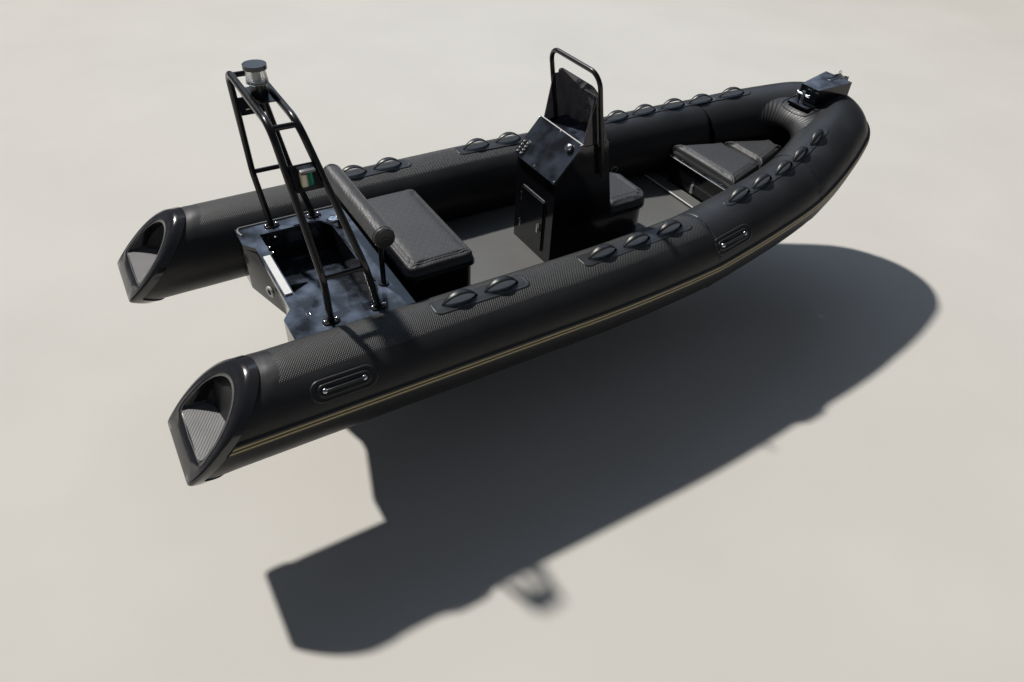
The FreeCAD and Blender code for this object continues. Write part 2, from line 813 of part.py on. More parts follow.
hood_aft = under_aft[0] + (hood_height - under_aft[1]) / math.tan(slope)
console_side = [(console_aft, deck_height), (console_aft, under_dash(console_aft)), (hood_aft, hood_height),
                (screen_foot, hood_height), (console_front, front_seat_top), (console_front, deck_height)]
console_face = Part.Face(Part.makePolygon([vec(x, 0, z) for x, z in console_side + console_side[:1]]))
inner_face = console_face.makeOffset2D(-console_wall)
console_outer = console_face.extrude(vec(0, 2 * console_half_width, 0))
console_outer.translate(vec(0, -console_half_width, 0))
inner_width = 2 * (console_half_width - console_wall)
console_inner = inner_face.extrude(vec(0, inner_width, 0))
console_inner.translate(vec(0, -inner_width / 2, 0))
doorway = block(console_aft - 1, console_aft + console_wall + 1, -door_half_width + door_lap,
                door_half_width - door_lap, door_bottom + door_lap, door_top - door_lap)
console_shell = console_outer.cut(console_inner).cut(doorway)

door_face = console_aft - door_gap
door = block(door_face - door_thickness, door_face, -door_half_width, door_half_width, door_bottom, door_top)
hinge_station = door_face - door_thickness / 2
hinge_offset = door_half_width + hinge_radius + hinge_gap
hinges = []
for z in hinge_heights:
    barrel = rod(vec(hinge_station, hinge_offset, z - hinge_length / 2), Z_AXIS, hinge_radius, hinge_length)
    leaf = block(hinge_station, console_aft, hinge_offset, hinge_offset + hinge_leaf, z - hinge_length / 2,
                 z + hinge_length / 2)
    hinges.append(barrel.fuse(leaf).removeSplitter())
latch_face = door_face - door_thickness
door_latch = rod(vec(latch_face, -latch_offset, latch_height), -X_AXIS, latch_radius, latch_depth)
door_latch = door_latch.fuse(block(latch_face - latch_depth - latch_lever, latch_face - latch_depth,
                                   -latch_offset - latch_lever, -latch_offset + latch_lever,
                                   latch_height - latch_reach, latch_height + latch_lever))

dash_side = [(dash_aft, dash_aft_height), (dash_front, dash_front_height),
             (dash_front + sink_x, dash_front_height - sink_z), under_aft]
dash_panel = side_profile(dash_side, -dash_half_width, dash_half_width).cut(console_outer)
dash_panel = largest(dash_panel)

# Windshield: a raked front pane with two side wings, its upper corners rounded
pane_side = [(screen_foot - screen_setback, hood_height), (screen_top_station, screen_top_height),
             (screen_top_station - screen_thickness, screen_top_height),
             (screen_foot - screen_setback - screen_thickness, hood_height)]
wing_side = [(screen_foot - screen_setback, hood_height), (screen_top_station, screen_top_height),
             (screen_top_station - screen_lip, screen_top_height), (screen_wing_foot, hood_height)]
screen = side_profile(pane_side, -screen_half_width, screen_half_width)
wing = side_profile(wing_side, screen_half_width - screen_thickness, screen_half_width)
screen = screen.fuse(wing).fuse(mirrored(wing)).removeSplitter()
frame_block = block(screen_wing_foot - 1, screen_foot + 1, -screen_half_width, screen_half_width, hood_height,
                    screen_top_height)
crown_edges = [e for e in frame_block.Edges if e.BoundBox.XLength > 1
               and abs(e.CenterOfMass.z - screen_top_height) < 1]
screen_corner = screen_corner_share * (screen_top_height - hood_height)
windshield = largest(screen.common(frame_block.makeFillet(screen_corner, crown_edges)).cut(dash_panel))

# Grab rail round the windshield, with two pads to the console's side on each leg
rail_points = [(rail_foot_station, -rail_half_width, rail_foot_height),
               (rail_top_station, -rail_half_width, rail_top_height),
               (rail_top_station, rail_half_width, rail_top_height),
               (rail_foot_station, rail_half_width, rail_foot_height)]
grab_rail = bent_tube(rail_points, rail_tube, rail_bend_radius)
rail_lean = (rail_top_station - rail_foot_station) / (rail_top_height - rail_foot_height)
for z in rail_pad_heights:
    centre = vec(rail_foot_station + rail_lean * (z - rail_foot_height), console_half_width, z)
    for pad_rod in both(rod(centre, Y_AXIS, rail_pad_radius, rail_half_width - console_half_width)):
        grab_rail = grab_rail.fuse(pad_rod)

# Seat in front of the console
front_lid_bottom = front_seat_top - cushion_thickness - soft_gap - lid_thickness
front_box = seat_box(console_front, front_seat_end - lid_overhang, front_seat_half_width - lid_overhang,
                     front_lid_bottom, front_seat_corner)
front_lid = rounded_box(console_front + lid_clearance, front_seat_end, front_seat_half_width,
                        front_lid_bottom, front_lid_bottom + lid_thickness, front_seat_corner)
front_cushion = rounded_box(console_front + lid_clearance, front_seat_end, front_seat_half_width,
                            front_seat_top - cushion_thickness, front_seat_top, front_seat_corner)
front_cushion = softened(front_cushion, cushion_edge)

# Bow locker: walls that narrow with the bow, one lid, and two cushions on it
def bow_half_width(x):
    """Half width of the bow lid, in two straight runs."""
    if x < locker_split:
        run = (x - locker_aft) / (locker_split - locker_aft)
        return locker_aft_half + (locker_split_half - locker_aft_half) * run
    run = (x - locker_split) / (locker_front - locker_split)
    return locker_split_half + (locker_front_half - locker_split_half) * run


def bow_plate(x0, x1, inset, z0, z1):
    stations = [x0] + [x for x in (locker_split,) if x0 < x < x1] + [x1]
    side = [(x, bow_half_width(x) - inset) for x in stations]
    loop = [(x, -y, z0) for x, y in side] + [(x, y, z0) for x, y in reversed(side)]
    return prism(loop, (0, 0, z1 - z0))


bow_lid_top = locker_top - bow_cushion_thickness - soft_gap
bow_lid_bottom = bow_lid_top - lid_thickness
locker_walls = bow_plate(locker_aft + lid_overhang, locker_front, lid_overhang, deck_height, bow_lid_bottom)
locker_hollow = bow_plate(locker_aft + lid_overhang + box_wall, locker_front - box_wall,
                          lid_overhang + box_wall, deck_height - 1, bow_lid_bottom + 1)
bow_locker = largest(without(locker_walls.cut(locker_hollow), collar + [hull, bow_step]))
bow_lid = bow_plate(locker_aft, locker_front, 0, bow_lid_bottom, bow_lid_top)
bow_cushions = []
half_gap = cushion_split / 2
for x0, x1 in ((locker_aft, locker_split - half_gap), (locker_split + half_gap, locker_front)):
    cushion = bow_plate(x0, x1, 0, locker_top - bow_cushion_thickness, locker_top)
    bow_cushions.append(softened(cushion, cushion_edge))
latch_plate_aft = locker_aft + lid_overhang - bow_latch_depth
bow_latch = block(latch_plate_aft, locker_aft + lid_overhang, bow_latch_offset - bow_latch_half,
                  bow_latch_offset + bow_latch_half, bow_latch_bottom, bow_latch_top)

# Bow box on the collar, with the roller's cheeks and pin, and a mooring cleat on its pad
bow_box_front = collar_end + bow_box_reach
bow_box_aft = bow_box_front - bow_box_length
bow_pad_aft = bow_box_aft - bow_pad_lead
cleat_station = bow_box_aft - cleat_lead
roller_station = bow_box_front + roller_reach
box_side = [(bow_box_aft, bow_box_bottom), (bow_box_aft, bow_box_aft_height),
            (bow_box_front, bow_box_front_height), (bow_box_front, bow_box_bottom)]
box_plan = [(bow_box_aft, -bow_box_aft_half), (bow_box_front, -bow_box_front_half),
            (bow_box_front, bow_box_front_half), (bow_box_aft, bow_box_aft_half)]
bow_box = side_profile(box_side, -bow_box_front_half, bow_box_front_half)
bow_box = bow_box.common(prism([(x, y, bow_box_bottom) for x, y in box_plan],
                               (0, 0, bow_box_front_height - bow_box_bottom)))
bow_pad = block(bow_pad_aft, bow_box_front - bow_pad_inset, -bow_pad_half, bow_pad_half,
                bow_pad_height - bow_pad_thickness, bow_pad_height)
bow_box = bow_box.fuse(bow_pad).removeSplitter()
bow_box = largest(bow_box.cut(bow_tube))
cheek_inner = roller_half_width + roller_clearance
cheek_side = [(bow_box_front - cheek_root, roller_height - roller_radius - cheek_margin),
              (roller_station + cheek_nose, roller_height - cheek_nose),
              (roller_station + cheek_nose, roller_height + cheek_nose),
              (bow_box_front - cheek_root, roller_height + cheek_nose)]
cheek = side_profile(cheek_side, cheek_inner, cheek_inner + cheek_thickness)
pin_reach = cheek_inner + cheek_thickness
roller_pin = rod(vec(roller_station, -pin_reach, roller_height), Y_AXIS, roller_pin_radius, 2 * pin_reach)
bow_box = bow_box.fuse(cheek).fuse(mirrored(cheek)).fuse(roller_pin).removeSplitter()
roller_bore = roller_pin_radius + running_fit
roller_outline = [(roller_bore, -roller_half_width), (roller_radius, -roller_half_width),
                  (roller_waist, 0), (roller_radius, roller_half_width), (roller_bore, roller_half_width)]
roller_face = Part.Face(Part.makePolygon([vec(roller_station, y, roller_height + r)
                                          for r, y in roller_outline + roller_outline[:1]]))
anchor_roller = roller_face.revolve(vec(roller_station, 0, roller_height), Y_AXIS, 360)

cleat_foot = vec(cleat_station, 0, bow_pad_height)
bow_cleat = rod(cleat_foot, Z_AXIS, cleat_base_radius, cleat_base_height)
bow_cleat = bow_cleat.fuse(rod(cleat_foot, Z_AXIS, cleat_post_radius, cleat_height))
cross_level = cleat_foot + Z_AXIS * (cleat_height - cleat_cross_drop)
bow_cleat = bow_cleat.fuse(rod(cross_level - Y_AXIS * cleat_reach, Y_AXIS, cleat_bar_radius, 2 * cleat_reach))
bow_cleat = bow_cleat.removeSplitter()

# Grab loops along the tops of the tubes and low carry grips on their outer sides
def leaf(length, width, tip):
    """A leaf-shaped outline in plan, widest in the middle, as a wire on z = 0."""
    half = length / 2
    starboard = Part.Arc(vec(-half, -tip / 2, 0), vec(0, -width / 2, 0), vec(half, -tip / 2, 0)).toShape()
    port = Part.Arc(vec(half, tip / 2, 0), vec(0, width / 2, 0), vec(-half, tip / 2, 0)).toShape()
    ends = [Part.LineSegment(vec(half, -tip / 2, 0), vec(half, tip / 2, 0)).toShape(),
            Part.LineSegment(vec(-half, tip / 2, 0), vec(-half, -tip / 2, 0)).toShape()]
    return Part.Wire([starboard, ends[0], port, ends[1]])


def loop_band(length, rise, width, thickness):
    """An arched band along X, standing on z = 0, its foot ends a little below."""
    half = length / 2
    outer = Part.Arc(vec(-half, 0, -handle_sink), vec(0, 0, rise), vec(half, 0, -handle_sink)).toShape()
    inner = Part.Arc(vec(half - thickness, 0, -handle_sink), vec(0, 0, rise - thickness),
                     vec(-half + thickness, 0, -handle_sink)).toShape()
    feet = [Part.LineSegment(vec(half, 0, -handle_sink), vec(half - thickness, 0, -handle_sink)).toShape(),
            Part.LineSegment(vec(-half + thickness, 0, -handle_sink), vec(-half, 0, -handle_sink)).toShape()]
    face = Part.Face(Part.Wire([outer, feet[0], inner, feet[1]]))
    band = face.extrude(vec(0, width, 0))
    band.translate(vec(0, -width / 2, 0))
    column = Part.Face(leaf(length, width, handle_tip)).extrude(vec(0, 0, rise + handle_sink + 1))
    column.translate(vec(0, 0, -handle_sink - 1))
    return largest(band.common(column))


def solid_grip(length, rise, width):
    """A low arched grip along X with no gap under it."""
    half = length / 2
    crown = Part.Arc(vec(-half, 0, -handle_sink), vec(0, 0, rise), vec(half, 0, -handle_sink)).toShape()
    sole = Part.LineSegment(vec(half, 0, -handle_sink), vec(-half, 0, -handle_sink)).toShape()
    grip = Part.Face(Part.Wire([crown, sole])).extrude(vec(0, width, 0))
    grip.translate(vec(0, -width / 2, 0))
    return grip


def chamber_of(station):
    if station <= fore_chamber_start:
        return "aft"
    return "fore" if station <= bow_chamber_start else "bow"


def on_collar(shape, station, angle):
    """Seats a shape on the port tube at an angle above its outer side."""
    y, heading = plan_point(station)
    shape.rotate(ORIGIN, X_AXIS, angle - 90)
    shape.translate(vec(0, tube_radius * math.cos(deg(angle)), tube_radius * math.sin(deg(angle))))
    shape.rotate(ORIGIN, Z_AXIS, -heading)
    shape.translate(vec(station, y, collar_axis_height))
    shape = lifted(shape, chamber_of(station))
    return largest(without(shape, [aft_tube, fore_tube, bow_tube]))


grab_loops = []
for station in handle_stations:
    band = loop_band(handle_length, handle_rise, handle_width, handle_thickness)
    grab_loops.append(on_collar(band, station, 90.0))
carry_grips = []
for station in carry_stations:
    carry_grips.append(on_collar(solid_grip(carry_length, carry_rise, carry_width), station, carry_angle))

# Cradle: two cross members and two rails on rubber feet, with posts under padded bearers
frame_top = cradle_foot + cradle_tube
half_tube = cradle_tube / 2
bottom_slope = (CHINE_HEIGHT - keel_height) / CHINE_HALF
bearer_drop = bearer_thickness + pad_thickness


def under_hull(y, drop):
    """Height of the hull's bottom amidships at y, less a drop."""
    return keel_height + bottom_slope * y - drop


def sloped_layer(station, top_drop, bottom_drop):
    """A slab under the V of the hull on the port side, between two drops below its bottom."""
    side = [(pad_inner, top_drop), (pad_outer, top_drop), (pad_outer, bottom_drop), (pad_inner, bottom_drop)]
    loop = [(station - pad_half_width, y, under_hull(y, drop)) for y, drop in side]
    return prism(loop, (2 * pad_half_width, 0, 0))


post_y = cradle_half_width - half_tube
foot_y = cradle_half_width - foot_inset - foot_half
cradle_stations = (cradle_aft, cradle_fore)
cross_members = []
cradle_posts = []
cradle_pads = []
cradle_feet = []
for station in cradle_stations:
    cross_members.append(block(station - half_tube, station + half_tube, -cradle_half_width,
                               cradle_half_width, cradle_foot, frame_top))
    bearer = sloped_layer(station, pad_thickness, bearer_drop)
    post = block(station - half_tube, station + half_tube, post_y - half_tube, post_y + half_tube,
                 frame_top, keel_height + bottom_slope * post_y)
    above_bearer = sloped_layer(station, -keel_height, bearer_drop)
    cradle_posts += both(post.cut(above_bearer).fuse(bearer).removeSplitter())
    cradle_pads += both(largest(sloped_layer(station, -pad_thickness, pad_thickness).cut(hull)))
    for y in (-foot_y, foot_y):
        cradle_feet.append(block(station - foot_half, station + foot_half, y - foot_half, y + foot_half,
                                 0, cradle_foot))
cradle_rails = []
for y in (-cradle_rail_half_spacing, cradle_rail_half_spacing):
    cradle_rails.append(block(cradle_stations[0] + half_tube, cradle_stations[1] - half_tube, y - half_tube,
                              y + half_tube, cradle_foot, frame_top))

# The boat's whole length, from the cones' lip to the strake round the bow
overall_length = max(piece.optimalBoundingBox(False).XMax for piece in [strake] + stripes)
print("overall length %.3f mm" % overall_length)

os.makedirs("parts", exist_ok=True)
write("cone_port", cone)
write("cone_starboard", mirrored(cone))
write("cone_step_pads", *both(pad))
write("tube_aft_port", aft_tube)
write("tube_aft_starboard", mirrored(aft_tube))
write("tube_fore_port", fore_tube)
write("tube_fore_starboard", mirrored(fore_tube))
write("tube_bow", bow_tube)
write("rub_strake", strake)
write("strake_stripes", *stripes)
write("hull", hull)
write("cockpit_floor", cockpit_floor)
write("bow_step", bow_step)
write("aft_deck", aft_deck)
write("transom", transom)
write("motor_plate", motor_plate)
write("drain_rings", *both(drain_ring))
write("filler_cap", filler_cap)
write("arch_aft", arch_aft)
write("arch_fore", arch_fore)
write("arch_rungs", *rungs)
write("arch_flanges", *flanges)
write("arch_brackets", lamp_shelf, *both(nav_plate))
write("masthead_housing", lamp_base, lamp_cap)
write("masthead_lens", lamp_lens)
write("nav_housings", *both(nav_housing))
write("nav_lens_port", nav_lens)
write("nav_lens_starboard", mirrored(nav_lens))
write("backrest_roll", roll)
write("backrest_posts", *both(roll_post))
write("aft_seat_box", aft_box)
write("aft_seat_lid", aft_lid)
write("aft_seat_cushion", aft_cushion)
write("console_shell", console_shell)
write("console_door", door)
write("door_hinges", *hinges)
write("door_latch", door_latch)
write("dash_panel", dash_panel)
write("windshield", windshield)
write("grab_rail", grab_rail)
write("console_seat_box", front_box)
write("console_seat_lid", front_lid)
write("console_seat_cushion", front_cushion)
write("bow_locker", bow_locker)
write("bow_locker_lid", bow_lid)
write("bow_cushions", *bow_cushions)
write("bow_locker_latch", bow_latch)
write("bow_box", bow_box)
write("anchor_roller", anchor_roller)
write("bow_cleat", bow_cleat)
half_count = len(grab_loops) // 2
for name, loops in (("aft", grab_loops[:half_count]), ("fore", grab_loops[half_count:])):
    write("grab_loops_port_" + name, *loops)
    write("grab_loops_starboard_" + name, *[mirrored(loop) for loop in loops])
write("carry_grips", *(carry_grips + [mirrored(grip) for grip in carry_grips]))
write("cradle_cross_members", *cross_members)
write("cradle_rails", *cradle_rails)
write("cradle_posts", *cradle_posts)
write("cradle_feet", *cradle_feet)
write("cradle_pads", *cradle_pads)
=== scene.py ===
# %% [markdown]
# This lesson dresses an inflatable rib boat. The rigid model arrives as a frame of named nodes in metres, with
# +X to the bow, +Y to port and +Z up. Each node keeps its place; here it gets its finish, or a softer and more
# detailed piece takes its place.
# %% Load the frame
import bmesh
import bpy
import math
from contextlib import contextmanager
from mathutils import Matrix, Vector, noise
from mathutils.bvhtree import BVHTree
from mathutils.kdtree import KDTree


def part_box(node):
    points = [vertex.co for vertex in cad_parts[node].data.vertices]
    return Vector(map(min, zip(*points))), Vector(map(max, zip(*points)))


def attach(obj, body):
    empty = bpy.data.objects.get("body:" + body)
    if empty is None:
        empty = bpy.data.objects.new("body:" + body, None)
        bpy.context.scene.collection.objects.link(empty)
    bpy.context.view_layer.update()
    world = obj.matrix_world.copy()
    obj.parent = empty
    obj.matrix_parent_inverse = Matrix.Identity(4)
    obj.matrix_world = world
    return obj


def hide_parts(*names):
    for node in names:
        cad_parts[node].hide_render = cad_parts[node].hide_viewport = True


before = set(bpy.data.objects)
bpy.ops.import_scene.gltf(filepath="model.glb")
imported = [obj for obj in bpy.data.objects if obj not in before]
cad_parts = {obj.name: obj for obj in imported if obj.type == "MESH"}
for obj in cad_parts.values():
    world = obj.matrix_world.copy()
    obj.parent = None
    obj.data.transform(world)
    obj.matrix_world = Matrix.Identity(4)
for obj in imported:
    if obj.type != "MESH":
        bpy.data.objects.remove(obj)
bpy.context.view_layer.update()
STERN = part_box("cone_port")[0][0]
SIDES = ((1, "port"), (-1, "starboard"))

# %% [markdown]
# The air collar is one round tube that follows a path in plan: straight along the stern, then three arcs round
# the bow. Its forward chambers tilt upwards in two steps. Everything glued on the collar, such as patches, loops
# and seam tapes, is placed by a station along the path and an angle round the tube, so those two numbers are
# turned into a point by one function.
# %% The collar's path
TUBE_RADIUS = 0.225
AXIS_Y, AXIS_Z = 0.683, 0.730
STRAIGHT_END = 1.940
ARC_TABLE = ((9.300, 0.0, 9.7), (3.330, 9.7, 27.4))
FORE_JOINT, FORE_TILT = 2.888, math.radians(4.9)
BOW_JOINT, BOW_TILT = 3.860, math.radians(10.3)


def arc_rows():
    x, y = STRAIGHT_END, AXIS_Y
    rows = []
    for radius, h0, h1 in ARC_TABLE:
        h0, h1 = math.radians(h0), math.radians(h1)
        rows.append((x, y, radius, h0))
        x += radius * (math.sin(h1) - math.sin(h0))
        y -= radius * (math.cos(h0) - math.cos(h1))
    rows.append((x, y, y / math.cos(h1), h1))
    return rows


ARC_ROWS = arc_rows()
BOW_END = ARC_ROWS[2][0] + ARC_ROWS[2][2] * (1 - math.sin(ARC_ROWS[2][3]))


def plan_point(u):
    """Half width and heading of the tube's axis at station u."""
    if u <= STRAIGHT_END:
        return AXIS_Y, 0.0
    x, y, radius, h0 = [row for row in ARC_ROWS if row[0] <= u][-1]
    heading = math.asin(min(1.0, (u - x) / radius + math.sin(h0)))
    return y - radius * (math.cos(h0) - math.cos(heading)), heading


RISE_JOINT = (FORE_JOINT + (BOW_JOINT - FORE_JOINT) * math.cos(FORE_TILT),
              AXIS_Z + (BOW_JOINT - FORE_JOINT) * math.sin(FORE_TILT))


def lift(x, z, chamber):
    """Tilts a point of the level path with its chamber: 0 aft, 1 fore, 2 bow."""
    if chamber == 0:
        return x, z
    if chamber == 1:
        base, run, tilt = (FORE_JOINT, AXIS_Z), x - FORE_JOINT, FORE_TILT
    else:
        base, run, tilt = RISE_JOINT, x - BOW_JOINT, BOW_TILT
    rise = z - AXIS_Z
    return (base[0] + run * math.cos(tilt) - rise * math.sin(tilt),
            base[1] + run * math.sin(tilt) + rise * math.cos(tilt))


def collar_point(u, angle, proud=0.0, side=1, chamber=None):
    """A point on the tube's skin: angle 0 is outboard, 90 degrees on top, 180 inboard."""
    y, heading = plan_point(u)
    out = (TUBE_RADIUS + proud) * math.cos(angle)
    up = (TUBE_RADIUS + proud) * math.sin(angle)
    x = u + out * math.sin(heading)
    y += out * math.cos(heading)
    if chamber is None:
        chamber = 0 if x <= FORE_JOINT else (1 if x <= BOW_JOINT else 2)
    x, z = lift(x, AXIS_Z + up, chamber)
    return Vector((STERN + x, side * y, z))


print("collar ends at station", round(BOW_END + TUBE_RADIUS, 3))

# %% [markdown]
# Small mesh helpers come next. A piece is a plain mesh at the origin with its place in its vertices. Grids of
# points become quads, rods and rings become round sections along a list of points, and boxes get a bevel so that
# no edge is razor sharp.
# %% Mesh helpers
PIECES = []


def put(name, data):
    thing = bpy.data.objects.new(name, data)
    bpy.context.scene.collection.objects.link(thing)
    return thing


def new_object(name, verts, faces, edges=()):
    mesh = bpy.data.meshes.new(name)
    mesh.from_pydata([tuple(v) for v in verts], list(edges), faces)
    return put(name, mesh)


@contextmanager
def editing(mesh):
    """The mesh as a bmesh, written back at the end."""
    work = bmesh.new()
    work.from_mesh(mesh)
    yield work
    work.to_mesh(mesh)
    work.free()


def tidy_mesh(piece, merge=1e-6):
    with editing(piece.data) as work:
        bmesh.ops.remove_doubles(work, verts=work.verts, dist=merge)
        bmesh.ops.recalc_face_normals(work, faces=work.faces)


def new_piece(name, part, finish, body="boat", uvs=None):
    """A piece from its (vertices, faces), with the finish's material."""
    piece = new_object(name, *part)
    mesh = piece.data
    mesh.validate()
    if uvs is not None:
        layer = mesh.uv_layers.new(name="UVMap")
        for loop in mesh.loops:
            layer.data[loop.index].uv = uvs[loop.vertex_index]
    tidy_mesh(piece)
    for polygon in mesh.polygons:
        polygon.use_smooth = True
    mesh.materials.append(finish.material)
    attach(piece, body)
    PIECES.append(name)
    return piece


def apply_modifiers(piece):
    """Turns the evaluated object into its own plain mesh."""
    shape = bpy.data.meshes.new_from_object(piece.evaluated_get(bpy.context.evaluated_depsgraph_get()))
    piece.modifiers.clear()
    piece.data = shape


def auto_smooth(piece, angle=35.0):
    """Shades flat across edges sharper than the angle."""
    limit = math.radians(angle)
    with editing(piece.data) as work:
        for face in work.faces:
            face.smooth = True
        for edge in work.edges:
            edge.smooth = not (len(edge.link_faces) == 2 and edge.calc_face_angle(0.0) > limit)


def grid_faces(rows, columns, closed_rows=False, closed_columns=False):
    faces = []
    for i in range(rows if closed_rows else rows - 1):
        for j in range(columns if closed_columns else columns - 1):
            a, b = i * columns + j, i * columns + (j + 1) % columns
            c, d = ((i + 1) % rows) * columns + (j + 1) % columns, ((i + 1) % rows) * columns + j
            faces.append((a, b, c, d))
    return faces


def capped_faces(rows, columns):
    """Faces of a round section along rows, with flat ends."""
    ends = [tuple(range(columns)), tuple(range((rows - 1) * columns, rows * columns))]
    return grid_faces(rows, columns, False, True) + ends


def turns(count):
    """Even angles round a full turn."""
    return [2 * math.pi * k / count for k in range(count)]


def tube_mesh(points, radius, sides=12, closed=False):
    """A round tube along points, with flat caps when open."""
    points = [Vector(p) for p in points]
    count = len(points)
    verts, normal = [], None
    for i, p in enumerate(points):
        before = points[(i - 1) % count] if closed or i else p
        after = points[(i + 1) % count] if closed or i < count - 1 else p
        tangent = (after - before).normalized()
        if normal is None:
            normal = tangent.orthogonal().normalized()
        normal = (normal - tangent * normal.dot(tangent)).normalized()
        other = tangent.cross(normal)
        verts += [p + (normal * math.cos(a) + other * math.sin(a)) * radius for a in turns(sides)]
    return verts, grid_faces(count, sides, True, True) if closed else capped_faces(count, sides)


def lathe_mesh(profile, centre, axis, sides=32):
    """Turns (radius, height) pairs about an axis through centre."""
    axis = Vector(axis).normalized()
    x = axis.orthogonal().normalized()
    y = axis.cross(x)
    verts = [Vector(centre) + axis * h + (x * math.cos(a) + y * math.sin(a)) * max(r, 1e-5)
             for r, h in profile for a in turns(sides)]
    return verts, grid_faces(len(profile), sides, False, True)


def join_meshes(parts):
    verts, faces = [], []
    for part_verts, part_faces in parts:
        base = len(verts)
        verts += list(part_verts)
        faces += [tuple(base + i for i in f) for f in part_faces]
    return verts, faces


def box_mesh(x0, x1, y0, y1, z0, z1):
    verts = [Vector((x, y, z)) for z in (z0, z1) for x, y in ((x0, y0), (x1, y0), (x1, y1), (x0, y1))]
    faces = [(3, 2, 1, 0), (4, 5, 6, 7), (0, 1, 5, 4), (1, 2, 6, 5), (2, 3, 7, 6), (3, 0, 4, 7)]
    return verts, faces


def dense_outline(corners, radius, steps=8, gap=0.02):
    """A closed outline through the corners, each rounded, with points along its straight runs."""
    count, out = len(corners), []
    for i, (cx, cy) in enumerate(corners):
        (px, py), (nx, ny) = corners[i - 1], corners[(i + 1) % count]
        before = Vector((px - cx, py - cy)).normalized() * radius
        after = Vector((nx - cx, ny - cy)).normalized() * radius
        for k in range(steps + 1):
            w = k / steps
            a, b = Vector((cx, cy)) + before * (1 - w), Vector((cx, cy)) + after * w
            point = a.lerp(b, w)
            out.append((point.x, point.y))
    dense = []
    for (ax, ay), (bx, by) in zip(out, out[1:] + out[:1]):
        parts = max(1, round(math.hypot(bx - ax, by - ay) / gap))
        dense += [(ax + (bx - ax) * i / parts, ay + (by - ay) * i / parts) for i in range(parts)]
    return dense


def placed(part, matrix):
    verts, faces = part
    return [matrix @ v for v in verts], faces


def station_box(*sizes):
    """A box whose first two sizes are stations."""
    return placed(box_mesh(*sizes), Matrix.Translation((STERN, 0, 0)))


def bevelled(piece, width, angle):
    bevel = piece.modifiers.new("edges", "BEVEL")
    bevel.width, bevel.segments = width, 2
    bevel.limit_method, bevel.angle_limit = "ANGLE", math.radians(angle)
    apply_modifiers(piece)
    auto_smooth(piece)


